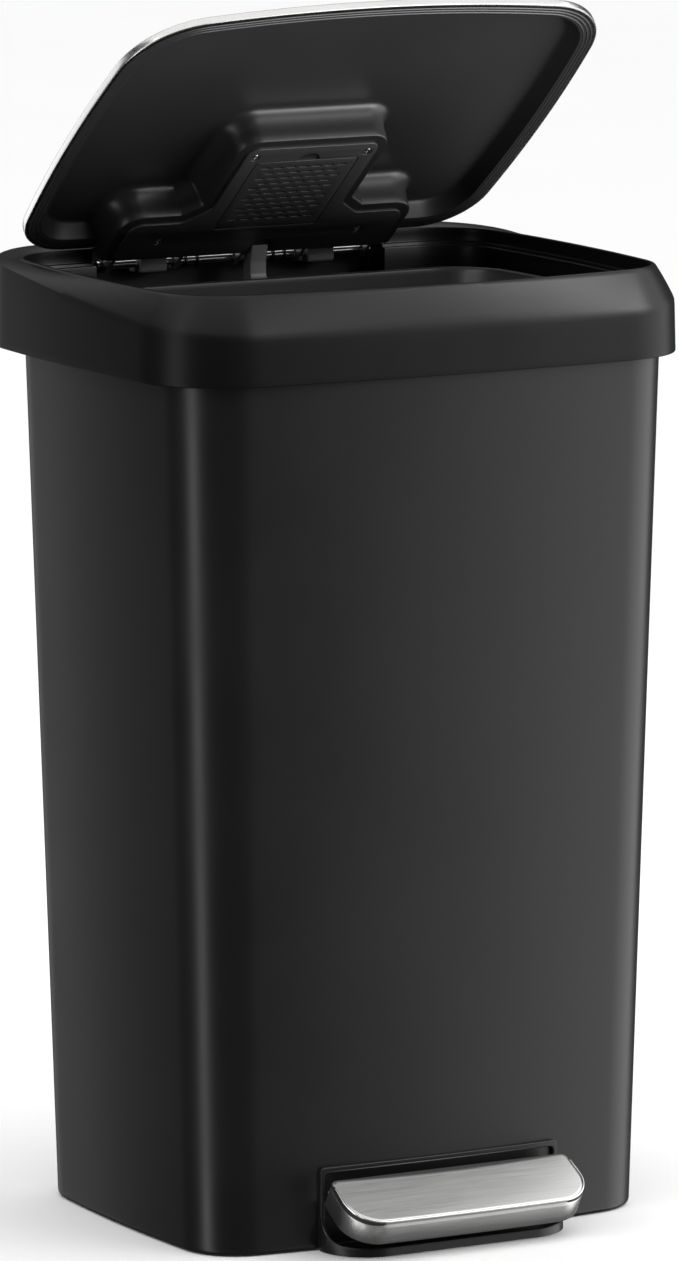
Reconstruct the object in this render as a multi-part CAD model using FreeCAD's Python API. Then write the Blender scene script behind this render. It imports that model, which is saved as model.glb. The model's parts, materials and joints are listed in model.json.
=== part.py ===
"""Pedal trash can: tapered body, collar, lift-out bucket, hinged lid and foot pedal linkage.

Millimetres, +Z up. The front faces -Y and the origin is on the floor under the middle of the body.
The lid is drawn closed and then turned open about its hinge rod to the rest pose.
The pedal is drawn level and then tipped to the angle that holds the lid there.
"""
import FreeCAD, Part
import math
import os

V = FreeCAD.Vector
X_AXIS = V(1, 0, 0)
Y_AXIS = V(0, 1, 0)
Z_AXIS = V(0, 0, 1)

# ---------------------------------------------------------------- driving dimensions
RIM_Z = 640.0                 # top edge of the collar
WALL = 2.5                    # moulded wall thickness
BODY_TOP = 596.0              # top edge of the body, inside the collar
TAPER_Z = 583.0               # height at which BODY_TOP_PLAN is given
DECK_Z = 64.0                 # underside of the deck that carries the bucket
DECK_TOP = 67.0

# plan = half width, front y, rear y, corner radius, front bow, side bow, rear bow
# and, where it differs, the radius of the front corners
BODY_FOOT_PLAN = (172.5, -131.5, 131.5, 41.0, 13.0, 7.4, 5.0)
BODY_TOP_PLAN = (188.2, -142.0, 146.0, 45.0, 13.0, 7.4, 5.0)
COLLAR_PLAN = (203.0, -148.5, 175.5, 62.0, 11.0, 8.0, 8.0)
OPENING_PLAN = (186.0, -138.0, 152.0, 44.5, 18.0, 9.7, 3.2)
LID_PLAN = (183.7, -135.8, 141.5, 43.0, 18.0, 9.5, 1.0, 57.0)
BUCKET_RIM_PLAN = (176.0, -127.0, 119.5, 46.0, 12.0, 7.0, 1.5)
BUCKET_FOOT_PLAN = (150.0, -108.0, 102.0, 38.0, 8.0, 5.0, 1.5)

SKIRT_Z = 583.5               # lower edge of the collar's skirt
CREASE_FRONT_Z = 612.5        # crease between skirt and chamfer, at the front
CREASE_SLOPE = 0.093          # rise of the crease per mm towards the rear
LIP_DEPTH = 9.7               # height of the collar's inner lip
LEDGE = 6.0                   # width of the step under the lip
BUCKET_RIM_Z = 619.0

HINGE_Y = 157.0               # lid hinge axis
HINGE_Z = 629.5
ROD_R = 3.0
RUNNING = 0.06                # radial running clearance
OPEN_ANGLE = 39.5             # lid angle in the rest pose
LID_RIM_Z = 633.0             # underside of the lid's flange when closed
SKIN = 0.8                    # stainless sheet of the lid
DOME_RISE = 11.5
RECESS_DEPTH = 11.3
COVER_Z = 621.0               # underside of the hinge cover when closed
COVER_T = 2.5
LIFT_PIN = (138.0, 627.5)     # lift pin (y, z) with the lid closed
LIFT_PIN_R = 1.75
LINK_X = 8.0                  # middle of the lift link and push rod
LINK_W = 12.5

PUSH_Y = 123.5                # push rod behind the bucket
PUSH_R = 2.5
PEDAL_PIVOT = (-128.0, 37.0)  # (y, z)
PEDAL_TILT = 29.25            # nose-down angle in the rest pose
PEDAL_TOP = 57.0              # height of the pedal's top when level
PEDAL_FRONT = PEDAL_PIVOT[0] - 53.6
PEDAL_BACK = PEDAL_PIVOT[0] - 5.7
PEDAL_T = 20.0                # depth of the pedal's skirt
PEDAL_PIN_R = 3.0
LEVER_PIVOT = (-63.0, 24.0)
LEVER_PIN_R = 3.0
LEVER_REAR = 128.0
ROLLER = (-146.0, 26.5)
ROLLER_R = 5.0
OPENING_HALF = 90.5           # half width of the pedal cut-out
OPENING_TOP = 56.8
LIP_FRONT = -165.5            # front edge of the scoop under the pedal

EAR_XS = (-101.0, -49.0, -1.8, 15.0, 46.0, 98.0)  # left faces of the lid bracket's ears
EAR_T = 3.0
BLOCK_XS = (-65.0, 65.0)      # middles of the blocks that hold the hinge rod
CLIP_XS = (-104.0, -39.0, -30.0, 29.0, 38.0, 103.0)

DAMPER_X = -12.0
DAMPER_Z = (330.0, 410.0)     # ends of the damper's barrel
YOKE_Z = 470.0                # yoke that ties the damper to the push rod
GUIDE_ZS = (150.0, 520.0)


# ---------------------------------------------------------------- basic shapes
def box(x0, x1, y0, y1, z0, z1):
    return Part.makeBox(x1 - x0, y1 - y0, z1 - z0, V(x0, y0, z0))


def rod(start, direction, radius, length):
    return Part.makeCylinder(radius, length, V(*start), direction)


def fuse(shapes):
    result = shapes[0].multiFuse(list(shapes[1:])) if len(shapes) > 1 else shapes[0]
    return result.removeSplitter()


def turned(shape, pivot_yz, degrees):
    """The shape turned about an X axis through (y, z); positive lifts the rear."""
    copy = shape.copy()
    copy.rotate(V(0, *pivot_yz), X_AXIS, degrees)
    return copy


def opened(shape):
    """A lid piece moved from the closed lid to the rest pose."""
    return turned(shape, (HINGE_Y, HINGE_Z), -OPEN_ANGLE)


def tipped(shape):
    """A pedal piece moved from level to the rest pose."""
    return turned(shape, PEDAL_PIVOT, PEDAL_TILT)


def blend_plans(low, high, share):
    return tuple(a + (b - a) * share for a, b in zip(low, high))


def bowed_end(half_width, half_depth, end_bow, side_bow, corner, inset):
    """One end of a bowed outline about its own middle, the end facing +Y.

    Returns the end's peak, its tangent point, the corner's middle and the side's tangent point.
    """
    end_r = (half_width ** 2 + end_bow ** 2) / (2 * end_bow)
    side_r = (half_depth ** 2 + side_bow ** 2) / (2 * side_bow)
    end_c = V(0, half_depth - end_r, 0)
    side_c = V(half_width - side_r, 0, 0)
    end_r -= inset
    side_r -= inset
    d_end = end_r - corner
    d_side = side_r - corner
    line = side_c - end_c
    gap = line.Length
    along = (d_end ** 2 - d_side ** 2 + gap ** 2) / (2 * gap)
    off = math.sqrt(max(d_end ** 2 - along ** 2, 0.0))
    unit = line.normalize()
    normal = V(-unit.y, unit.x, 0)
    corner_c = max((end_c + unit * along + normal * s * off for s in (1, -1)), key=lambda p: p.x + p.y)
    end_t = end_c + (corner_c - end_c).normalize() * end_r
    side_t = side_c + (corner_c - side_c).normalize() * side_r
    middle = corner_c + ((end_t + side_t) * 0.5 - corner_c).normalize() * corner
    return V(0, end_c.y + end_r, 0), end_t, middle, side_t


def outline(plan, inset, z):
    """Closed outline of a bowed rounded rectangle, moved inwards by inset."""
    half_width, front, rear, corner, front_bow, side_bow, rear_bow = plan[:7]
    front_corner = plan[7] if len(plan) > 7 else corner
    middle_y = (front + rear) / 2
    half_depth = (rear - front) / 2
    smallest_corner = 14.0
    ends = []
    for bow, size, sign in ((front_bow, front_corner, -1), (rear_bow, corner, 1)):
        radius = max(size - inset, smallest_corner)
        points = bowed_end(half_width, half_depth, bow, side_bow, radius, inset)
        ends.append([V(p.x, middle_y + sign * p.y, z) for p in points])
    front_end, rear_end = ends
    side_mid = V(half_width - inset, middle_y, z)

    def mirror(p):
        return V(-p.x, p.y, p.z)

    arcs = [
        (mirror(front_end[1]), front_end[0], front_end[1]),
        (front_end[1], front_end[2], front_end[3]),
        (front_end[3], side_mid, rear_end[3]),
        (rear_end[3], rear_end[2], rear_end[1]),
        (rear_end[1], rear_end[0], mirror(rear_end[1])),
        (mirror(rear_end[1]), mirror(rear_end[2]), mirror(rear_end[3])),
        (mirror(rear_end[3]), mirror(side_mid), mirror(front_end[3])),
        (mirror(front_end[3]), mirror(front_end[2]), mirror(front_end[1])),
    ]
    return Part.Wire([Part.Arc(*arc).toShape() for arc in arcs])


def loft(wires):
    return Part.makeLoft(wires, True, True)


def prism(plan, inset, z0, z1):
    return loft([outline(plan, inset, z0), outline(plan, inset, z1)])


def rounded_wire(corners):
    """Closed wire in the XY plane through (x, y, radius) corners, each rounded off."""
    count = len(corners)
    edges = []
    ends = []
    for i, (x, y, radius) in enumerate(corners):
        here = V(x, y, 0)
        before = (V(*corners[i - 1][:2], 0) - here).normalize()
        after = (V(*corners[(i + 1) % count][:2], 0) - here).normalize()
        half = before.getAngle(after) / 2
        reach = radius / math.tan(half)
        bisector = (before + after).normalize()
        centre = here + bisector * (radius / math.sin(half))
        ends.append((here + before * reach, centre - bisector * radius, here + after * reach))
    for i, (start, middle, end) in enumerate(ends):
        edges.append(Part.Arc(start, middle, end).toShape())
        following = ends[(i + 1) % count][0]
        if end.distanceToPoint(following) > 1e-6:
            edges.append(Part.LineSegment(end, following).toShape())
    return Part.Wire(edges)


def slab(corners, z0, z1):
    """Upright prism on a rounded outline."""
    face = Part.Face(rounded_wire(corners))
    face.translate(V(0, 0, z0))
    return face.extrude(V(0, 0, z1 - z0))


def side_slab(corners, x0, x1):
    """Prism along X whose (y, z, radius) outline is seen from the side."""
    face = Part.Face(rounded_wire(corners))
    face.rotate(V(0, 0, 0), V(1, 1, 1), 120)
    face.translate(V(x0, 0, 0))
    return face.extrude(V(x1 - x0, 0, 0))


def rectangle(x0, x1, y0, y1, radius):
    return [(x0, y0, radius), (x1, y0, radius), (x1, y1, radius), (x0, y1, radius)]


def mirrored(corners):
    """Right-hand corners, from front to rear, completed with their left-hand twins."""
    return [(-x, y, r) for x, y, r in corners[::-1]] + list(corners)


# ---------------------------------------------------------------- body and base
def body_plan(z):
    return blend_plans(BODY_FOOT_PLAN, BODY_TOP_PLAN, z / TAPER_Z)


def body_outline(z, inset):
    return outline(body_plan(z), inset, z)


def body_cavity(z0, z1):
    return loft([body_outline(z0, WALL), body_outline(z1, WALL)])


def make_body_shell():
    foot_round = ((1.0, 2.6), (2.2, 0.9), (4.5, 0.0))
    outer = loft([body_outline(z, inset) for z, inset in foot_round] + [body_outline(BODY_TOP, 0)])
    shell = outer.cut(body_cavity(DECK_TOP, BODY_TOP + 1)).cut(body_cavity(0, DECK_Z))
    hole_half = OPENING_HALF + 0.7
    pedal_hole = slab(rectangle(-hole_half, hole_half, -20, OPENING_TOP + 0.6, 1.5), -150, -100)
    pedal_hole.rotate(V(0, 0, 0), X_AXIS, 90)
    pedal_hole.translate(V(0, -250, 0))
    rod_slot = box(LINK_X - 9, LINK_X + 9, PUSH_Y - 7, PUSH_Y + 3.5, DECK_Z - 1, DECK_TOP + 1)
    shell = shell.cut(pedal_hole).cut(rod_slot)
    bosses = [rod((x, y, 7.0), Z_AXIS, 5.0, DECK_Z - 6.5) for x, y in base_screw_places()]
    shell = fuse([shell] + bosses)
    for x, y in base_screw_places():
        shell = shell.cut(rod((x, y, 6.0), Z_AXIS, 1.6, 20.0))
    return shell


def base_screw_places():
    return [(x, y) for x in (-138.0, 138.0) for y in (-82.0, 92.0)]


def foot_places():
    corners = [(x, y) for x in (-142.0, 142.0) for y in (-104.0, 106.0)]
    return corners + [(0.0, 0.0)]


def make_base_plate():
    plate = prism(BODY_FOOT_PLAN, WALL + 0.6, 3.0, 7.0)
    plate = plate.cut(box(-OPENING_HALF - 1, OPENING_HALF + 1, -140, -112, 2, 8))
    for x, y in base_screw_places():
        plate = plate.cut(rod((x, y, 2.0), Z_AXIS, 2.0, 6.0))
        plate = plate.cut(rod((x, y, 2.0), Z_AXIS, 4.0, 3.0))
    return plate


def make_base_screws():
    screws = []
    for x, y in base_screw_places():
        head = rod((x, y, 3.0), Z_AXIS, 3.6, 2.0)
        screws.append(fuse([head, rod((x, y, 5.0), Z_AXIS, 1.5, 18.0)]))
    return Part.makeCompound(screws)


def make_rubber_feet():
    feet = []
    for x, y in foot_places():
        foot = Part.makeCone(10.0, 12.0, 1.0, V(x, y, 0))
        feet.append(fuse([foot, rod((x, y, 1.0), Z_AXIS, 12.0, 2.0)]))
    return Part.makeCompound(feet)


# ---------------------------------------------------------------- collar
def crease_z(y):
    return CREASE_FRONT_Z + CREASE_SLOPE * (y - COLLAR_PLAN[1])


def sheared(wire, drop):
    """A flat outline at z = 0 laid on the sloping crease plane, lowered by drop."""
    slope = FreeCAD.Matrix()
    slope.A32 = CREASE_SLOPE
    slope.A34 = crease_z(0) - drop
    return wire.transformGeometry(slope)


def make_collar():
    skirt = loft([outline(COLLAR_PLAN, 0, SKIRT_Z), sheared(outline(COLLAR_PLAN, 0, 0), 0)])
    land = 3.0
    chamfer = loft([sheared(outline(COLLAR_PLAN, 0, 0), 0), outline(OPENING_PLAN, -land, RIM_Z)])
    solid = fuse([skirt, chamfer])
    solid = solid.cut(prism(OPENING_PLAN, 0, RIM_Z - LIP_DEPTH, RIM_Z + 1))
    throat_wall = LEDGE - WALL
    channel = loft([outline(COLLAR_PLAN, WALL, SKIRT_Z - 1), sheared(outline(COLLAR_PLAN, WALL, 0), 3.0)])
    channel = channel.cut(prism(OPENING_PLAN, throat_wall, SKIRT_Z - 2, RIM_Z + 1))
    solid = solid.cut(channel)
    solid = solid.cut(prism(OPENING_PLAN, LEDGE, SKIRT_Z - 2, RIM_Z + 1))
    solid = fuse([solid] + collar_ribs(channel))
    bay = box(-112, 112, 135, 168, 604, RIM_Z + 1)
    shelf = box(-114.5, 114.5, 140, 170.5, 601.5, 604)
    wall = box(-114.5, 114.5, 147, 172, 601.5, 632).common(prism(COLLAR_PLAN, 1, 600, 640))
    solid = fuse([solid, wall]).cut(bay)
    solid = fuse([solid, shelf]).cut(prism(BUCKET_RIM_PLAN, -2, 600, 605))
    slot = box(LINK_X - 9, LINK_X + 9, 110, 150, 600, 605)
    body_room = loft([body_outline(SKIRT_Z - 2, -0.3), body_outline(BODY_TOP, -0.3)])
    return solid.cut(slot).cut(body_room)


def collar_ribs(channel):
    """Ribs in the skirt that stand on the top edge of the body."""
    ribs = []
    for y in (-70.0, 0.0, 70.0):
        for x0, x1 in ((-205, -178), (178, 205)):
            ribs.append(box(x0, x1, y, y + 3, BODY_TOP, RIM_Z).common(channel))
    for x in (-100.0, 0.0, 100.0):
        ribs.append(box(x, x + 3, -150, -125, BODY_TOP, RIM_Z).common(channel))
    return ribs


# ---------------------------------------------------------------- bucket
def make_inner_bucket():
    foot_z = DECK_TOP + 0.2
    rim_low = BUCKET_RIM_Z - 5.0
    lip = 4.0
    outer = loft([outline(BUCKET_FOOT_PLAN, 3, foot_z), outline(BUCKET_FOOT_PLAN, 0, foot_z + 4),
                  outline(BUCKET_RIM_PLAN, lip, BUCKET_RIM_Z)])
    bucket = fuse([outer, prism(BUCKET_RIM_PLAN, 0, rim_low, BUCKET_RIM_Z)])
    inner = loft([outline(BUCKET_FOOT_PLAN, 2.2, foot_z + 2.5),
                  outline(BUCKET_RIM_PLAN, lip + 2.2, BUCKET_RIM_Z + 1)])
    bucket = bucket.cut(inner)
    under_lip = prism(BUCKET_RIM_PLAN, 1.6, rim_low - 1, BUCKET_RIM_Z - 1.8)
    under_lip = under_lip.cut(prism(BUCKET_RIM_PLAN, lip + 0.4, rim_low - 2, BUCKET_RIM_Z))
    return bucket.cut(under_lip)


# ---------------------------------------------------------------- lid
def dome_height(inset):
    """Height of the skin's outer face at a distance in from the lid's edge."""
    shoulder, reach, fullness = 3.0, 100.0, 5
    share = (inset - shoulder) / (reach - shoulder)
    return LID_RIM_Z + 8.5 + DOME_RISE * (1 - (1 - share) ** fullness)


def skin_form(shrink):
    """Solid inside the skin's outer face, or its inner face when shrunk by the sheet."""
    edge = ((LID_RIM_Z + 0.8, 0.0), (LID_RIM_Z + 6.0, 0.0), (LID_RIM_Z + 7.6, 0.9))
    start = LID_RIM_Z - 1 if shrink else edge[0][0]
    sections = [(start, 0.0)] + list(edge[1:])
    sections += [(dome_height(inset), inset) for inset in (3, 10, 18, 30, 48, 70, 100)]
    return loft([outline(LID_PLAN, inset + shrink, z - (shrink if i else 0))
                 for i, (z, inset) in enumerate(sections)])


def make_lid_skin():
    return skin_form(0).cut(skin_form(SKIN))


def housing_outline(grow):
    """T-shaped outline of the hinge housing, widened by grow."""
    tower, wing = 50.0 + grow, 105.0 + grow
    return mirrored([(tower, 10 - grow, 9), (tower + 2, 82 - grow, 6), (64 + grow, 96 - grow, 8),
                     (wing - 2, 96 - grow, 8), (wing, 139.5, 1)])


def make_lid_tray():
    floor = LID_RIM_Z + RECESS_DEPTH
    flange = prism(LID_PLAN, SKIN + 0.1, LID_RIM_Z, LID_RIM_Z + 2.2).cut(
        prism(LID_PLAN, 11, LID_RIM_Z - 1, LID_RIM_Z + 3))
    bowl = loft([outline(LID_PLAN, 10, LID_RIM_Z), outline(LID_PLAN, 17.5, floor + 2)])
    recess = loft([outline(LID_PLAN, 11.6, LID_RIM_Z - 1), outline(LID_PLAN, 19.5, floor)])
    tray = fuse([flange, bowl.cut(recess)])
    pad = loft([placed(housing_outline(6.0), COVER_Z + COVER_T), placed(housing_outline(14.0), floor + 1)])
    pad = pad.common(prism(LID_PLAN, SKIN + 0.1, COVER_Z, floor + 2))
    hollow = slab(housing_outline(-2.5), COVER_Z, floor)
    roof = box(-102.5, 102.5, 108, 138.5, floor - 6, floor)
    tray = fuse([tray, pad]).cut(hollow.cut(roof))
    tray = tray.cut(box(-102.5, 102.5, 108, 142, COVER_Z, floor - 6))
    above_roof = prism(LID_PLAN, 0, floor - 4, floor + 3).cut(prism(LID_PLAN, 17.5, floor - 5, floor + 4))
    skin_room = prism(LID_PLAN, 0, floor - 6.7, floor).cut(prism(LID_PLAN, 3.6, floor - 7, floor + 1))
    tray = tray.cut(above_roof).cut(skin_room)
    tray = tray.cut(slab(housing_outline(0.15), COVER_Z - 1, COVER_Z + COVER_T))
    for inset in (2.6, 5.6, 8.6):
        ring = prism(LID_PLAN, inset, LID_RIM_Z - 1, LID_RIM_Z + 0.6)
        tray = tray.cut(ring.cut(prism(LID_PLAN, inset + 1, LID_RIM_Z - 2, LID_RIM_Z + 1)).cut(
            slab(housing_outline(16), LID_RIM_Z - 3, LID_RIM_Z + 2)))
    return tray


def placed(corners, z):
    wire = rounded_wire(corners)
    wire.translate(V(0, 0, z))
    return wire


def cover_screw_places():
    return [(s * x, y) for x, y in ((43.0, 20.0), (77.0, 118.0)) for s in (-1, 1)]


def make_hinge_cover():
    cover = slab(housing_outline(0), COVER_Z, COVER_Z + COVER_T)
    cover = cover.cut(slab(rectangle(-39.4, 39.4, 26.1, 106.8, 2), COVER_Z - 1, COVER_Z + 3))
    cover = cover.cut(rod((0, 26.5, COVER_Z - 1), Z_AXIS, 8.0, 4))
    cover = cover.cut(box(LINK_X - 8, LINK_X + 8, 124, 143, COVER_Z - 1, COVER_Z + 3))
    for x, y in cover_screw_places():
        cover = cover.cut(rod((x, y, COVER_Z - 1), Z_AXIS, 1.8, 4))
        cover = cover.cut(rod((x, y, COVER_Z - 1), Z_AXIS, 3.2, 2.2))
    pads = [rod((x, y, COVER_Z + COVER_T), Z_AXIS, 4.0, 6.0).cut(rod((x, y, COVER_Z), Z_AXIS, 1.8, 10))
            for x, y in cover_screw_places()]
    return fuse([cover] + pads)


def make_cover_screws():
    screws = []
    for x, y in cover_screw_places():
        head = rod((x, y, COVER_Z), Z_AXIS, 3.0, 1.2)
        cross = [box(x - 1.8, x + 1.8, y - 0.4, y + 0.4, COVER_Z - 1, COVER_Z + 0.7),
                 box(x - 0.4, x + 0.4, y - 1.8, y + 1.8, COVER_Z - 1, COVER_Z + 0.7)]
        shank = rod((x, y, COVER_Z + 1.2), Z_AXIS, 1.5, 8.0)
        screws.append(fuse([head, shank]).cut(cross[0]).cut(cross[1]))
    return Part.makeCompound(screws)


def make_filter_door():
    door = slab(rectangle(-39, 39, 26.5, 106, 3), COVER_Z, COVER_Z + 2.2)
    slots = []
    pitch_x, pitch_y, first_y, half_slot = 9.7, 6.2, 33.5, 2.9
    for row in range(11):
        count = 7 - row % 2
        y = first_y + row * pitch_y
        for column in range(count):
            x = (column - (count - 1) / 2) * pitch_x
            slots.append(box(x - half_slot, x + half_slot, y - 0.8, y + 0.8, COVER_Z - 1, COVER_Z + 3))
    return door.cut(Part.makeCompound(slots))


def make_filter_cartridge():
    shell = slab(rectangle(-35, 35, 31, 101, 3), COVER_Z + 3.2, COVER_Z + 12)
    tray = slab(rectangle(-33, 33, 33, 99, 2), COVER_Z + 2, COVER_Z + 4.4)
    return shell.cut(tray)


def make_hinge_bracket():
    """Base plate inside the housing, with ears that turn on the hinge rod."""
    top = LID_RIM_Z + RECESS_DEPTH - 6
    base = box(-101, 101, 112, 136, top - 2, top)
    ear_outline = [(112, top - 1, 1), (126, top - 1, 4), (139, LID_RIM_Z, 5),
                   (HINGE_Y + 5.5, HINGE_Z + 4.6, 4.4), (HINGE_Y + 5.5, HINGE_Z - 5.5, 5.4),
                   (134, COVER_Z + 3.2, 2), (112, COVER_Z + 12, 4)]
    ears = [side_slab(ear_outline, x, x + EAR_T) for x in EAR_XS]
    bracket = fuse([base] + ears)
    bracket = bracket.cut(rod((-130, HINGE_Y, HINGE_Z), X_AXIS, ROD_R + RUNNING, 260))
    bracket = bracket.cut(rod((EAR_XS[2] - 1, *LIFT_PIN), X_AXIS, LIFT_PIN_R, 30))
    link_room = box(EAR_XS[2] + EAR_T + 0.1, EAR_XS[3] - 0.1, 128, 137, top - 3, top + 1)
    return bracket.cut(link_room)


def make_lift_pin():
    return rod((EAR_XS[2], *LIFT_PIN), X_AXIS, LIFT_PIN_R, EAR_XS[3] + EAR_T - EAR_XS[2])


# ---------------------------------------------------------------- hinge hardware on the collar
def make_hinge_rod():
    return rod((-106, HINGE_Y, HINGE_Z), X_AXIS, ROD_R, 212)


def make_hinge_blocks():
    blocks = []
    for x in BLOCK_XS:
        outer = side_slab([(150.5, 623, 3), (168, 623, 1), (168, 636, 1), (150.5, 636, 3)], x - 10, x + 10)
        outer = outer.cut(rod((x - 11, HINGE_Y, HINGE_Z), X_AXIS, ROD_R, 22))
        blocks.append(outer.cut(rod((x, 150, 632.8), Y_AXIS, 1.5, 20)))
    return Part.makeCompound(blocks)


def make_block_screws():
    screws = []
    for x in BLOCK_XS:
        screws.append(rod((x, 161.5, 632.8), Y_AXIS, 1.5, 6.5))
    return Part.makeCompound(screws)


def make_rod_washers():
    washers = []
    for x in EAR_XS:
        for start in (x - 1.1, x + EAR_T + 0.1):
            ring = rod((start, HINGE_Y, HINGE_Z), X_AXIS, 5.0, 1.0)
            washers.append(ring.cut(rod((start - 1, HINGE_Y, HINGE_Z), X_AXIS, ROD_R, 3)))
    return Part.makeCompound(washers)


def make_rod_clips():
    clips = []
    for x in CLIP_XS:
        ring = rod((x, HINGE_Y, HINGE_Z), X_AXIS, 4.6, 1.2)
        ring = ring.cut(rod((x - 1, HINGE_Y, HINGE_Z), X_AXIS, ROD_R, 4))
        clips.append(ring.cut(box(x - 1, x + 3, HINGE_Y - 1.2, HINGE_Y + 1.2, HINGE_Z, HINGE_Z + 8)))
    return Part.makeCompound(clips)


# ---------------------------------------------------------------- lift linkage
def link_pin_at_rest():
    turned_pin = turned(Part.Vertex(0, *LIFT_PIN), (HINGE_Y, HINGE_Z), -OPEN_ANGLE)
    return turned_pin.Point.y, turned_pin.Point.z


def make_lift_link():
    """Strap that stands on the push rod and lifts the lid by a pin in its slotted eye."""
    pin_y, pin_z = link_pin_at_rest()
    strap = side_slab([(PUSH_Y - 4, 588, 1.5), (PUSH_Y + 4, 588, 1.5), (PUSH_Y + 4.5, 601, 4),
                       (pin_y + 5, 614, 6), (pin_y + 5, 628, 6), (pin_y + 6.8, pin_z - 1.4, 2.6),
                       (pin_y + 4.4, pin_z + 4.3, 3), (pin_y - 7.4, pin_z + 4.4, 3.5),
                       (pin_y - 7.4, pin_z - 2, 4), (pin_y - 5, 628, 6), (pin_y - 5, 618, 6),
                       (PUSH_Y - 4, 604, 6)],
                      LINK_X - LINK_W / 2, LINK_X + LINK_W / 2)
    half, up = 5.3, LIFT_PIN_R + 0.7
    slot = side_slab(rectangle(pin_y - half, pin_y + half, pin_z - up, pin_z + up, 2), 0, 26)
    return strap.cut(slot).cut(rod((LINK_X, PUSH_Y, 580), Z_AXIS, PUSH_R, 20))


def make_push_rod():
    foot_z = LEVER_PIVOT[1] + 4.8
    shaft = rod((LINK_X, PUSH_Y, foot_z), Z_AXIS, PUSH_R, 600 - foot_z)
    foot = rod((LINK_X, PUSH_Y, foot_z), Z_AXIS, 4.0, 6.0)
    return fuse([shaft, foot])


def make_rod_guides():
    guides = []
    for z in GUIDE_ZS:
        block = box(LINK_X - 8, LINK_X + 8, PUSH_Y - 4.5, 150, z - 7, z + 7)
        block = block.common(body_cavity(DECK_TOP, BODY_TOP))
        guides.append(block.cut(rod((LINK_X, PUSH_Y, z - 8), Z_AXIS, PUSH_R + 0.08, 16)))
    return Part.makeCompound(guides)


def make_damper_cylinder():
    low, high = DAMPER_Z
    barrel = rod((DAMPER_X, PUSH_Y, low), Z_AXIS, 6.0, high - low)
    cavity = body_cavity(DECK_TOP, BODY_TOP)
    clamps = []
    for z in (low + 12, high - 12):
        clamps.append(box(DAMPER_X - 9, DAMPER_X + 9, PUSH_Y - 4, 150, z - 4, z + 4).common(cavity))
    body = fuse([barrel] + clamps)
    body = body.cut(rod((DAMPER_X, PUSH_Y, low + 3), Z_AXIS, 4.5, high - low - 7))
    return body.cut(rod((DAMPER_X, PUSH_Y, high - 6), Z_AXIS, 2.06, 8))


def make_damper_piston():
    head_z = DAMPER_Z[0] + 34
    head = rod((DAMPER_X, PUSH_Y, head_z), Z_AXIS, 4.4, 6)
    stem = rod((DAMPER_X, PUSH_Y, head_z), Z_AXIS, 2.0, YOKE_Z - head_z + 3)
    yoke = box(DAMPER_X - 5, LINK_X + 5, PUSH_Y - 4, PUSH_Y + 4, YOKE_Z, YOKE_Z + 6)
    return fuse([head, stem, yoke]).cut(rod((LINK_X, PUSH_Y, YOKE_Z - 1), Z_AXIS, PUSH_R, 8))


# ---------------------------------------------------------------- pedal and lever
def pedal_corners(inset):
    return mirrored([(93.2 - inset, PEDAL_FRONT + inset, 24 - inset),
                     (91.3 - inset, PEDAL_BACK - inset, 6 - inset)])


def make_pedal_plate():
    low = PEDAL_TOP - PEDAL_T
    shell = fuse([slab(pedal_corners(0), low, PEDAL_TOP - 1.2),
                  loft([placed(pedal_corners(0), PEDAL_TOP - 1.2), placed(pedal_corners(1.0), PEDAL_TOP)])])
    shell = shell.cut(slab(pedal_corners(1.2), low - 1, PEDAL_TOP - 1.2))
    return shell.cut(box(-84, 84, PEDAL_BACK - 2, PEDAL_BACK + 1, low - 1, PEDAL_TOP - 1.2))


def make_pedal_core():
    top = PEDAL_TOP - 1.2
    low = PEDAL_TOP - 14.5
    core = slab(pedal_corners(1.3), low, top)
    for column in range(6):
        x = -80 + column * 28.0
        if column in (2, 3):
            continue
        core = core.cut(slab(rectangle(x, x + 20, PEDAL_FRONT + 7, PEDAL_BACK - 8, 4), low - 1, top - 3))
    y, z = PEDAL_PIVOT
    arm_outline = [(y - 14, top - 1, 1), (y - 14, low, 2), (y - 5, z - 6, 5), (y + 6, z - 6, 5.8),
                   (y + 6, z + 6, 5.8), (y - 6, z + 8, 2), (y - 7.2, top - 1, 0.5)]
    arms = [side_slab(arm_outline, x, x + 10) for x in (-76.0, 66.0)]
    core = fuse([core] + arms)
    return core.cut(rod((-90, y, z), X_AXIS, PEDAL_PIN_R + RUNNING, 180))


def make_pedal_pin():
    return rod((-84, *PEDAL_PIVOT), X_AXIS, PEDAL_PIN_R, 168)


def scoop_plan(inset, rear):
    return mirrored([(OPENING_HALF - inset, LIP_FRONT + inset, 34 - inset),
                     (OPENING_HALF - inset, rear, 0.5)])


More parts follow.
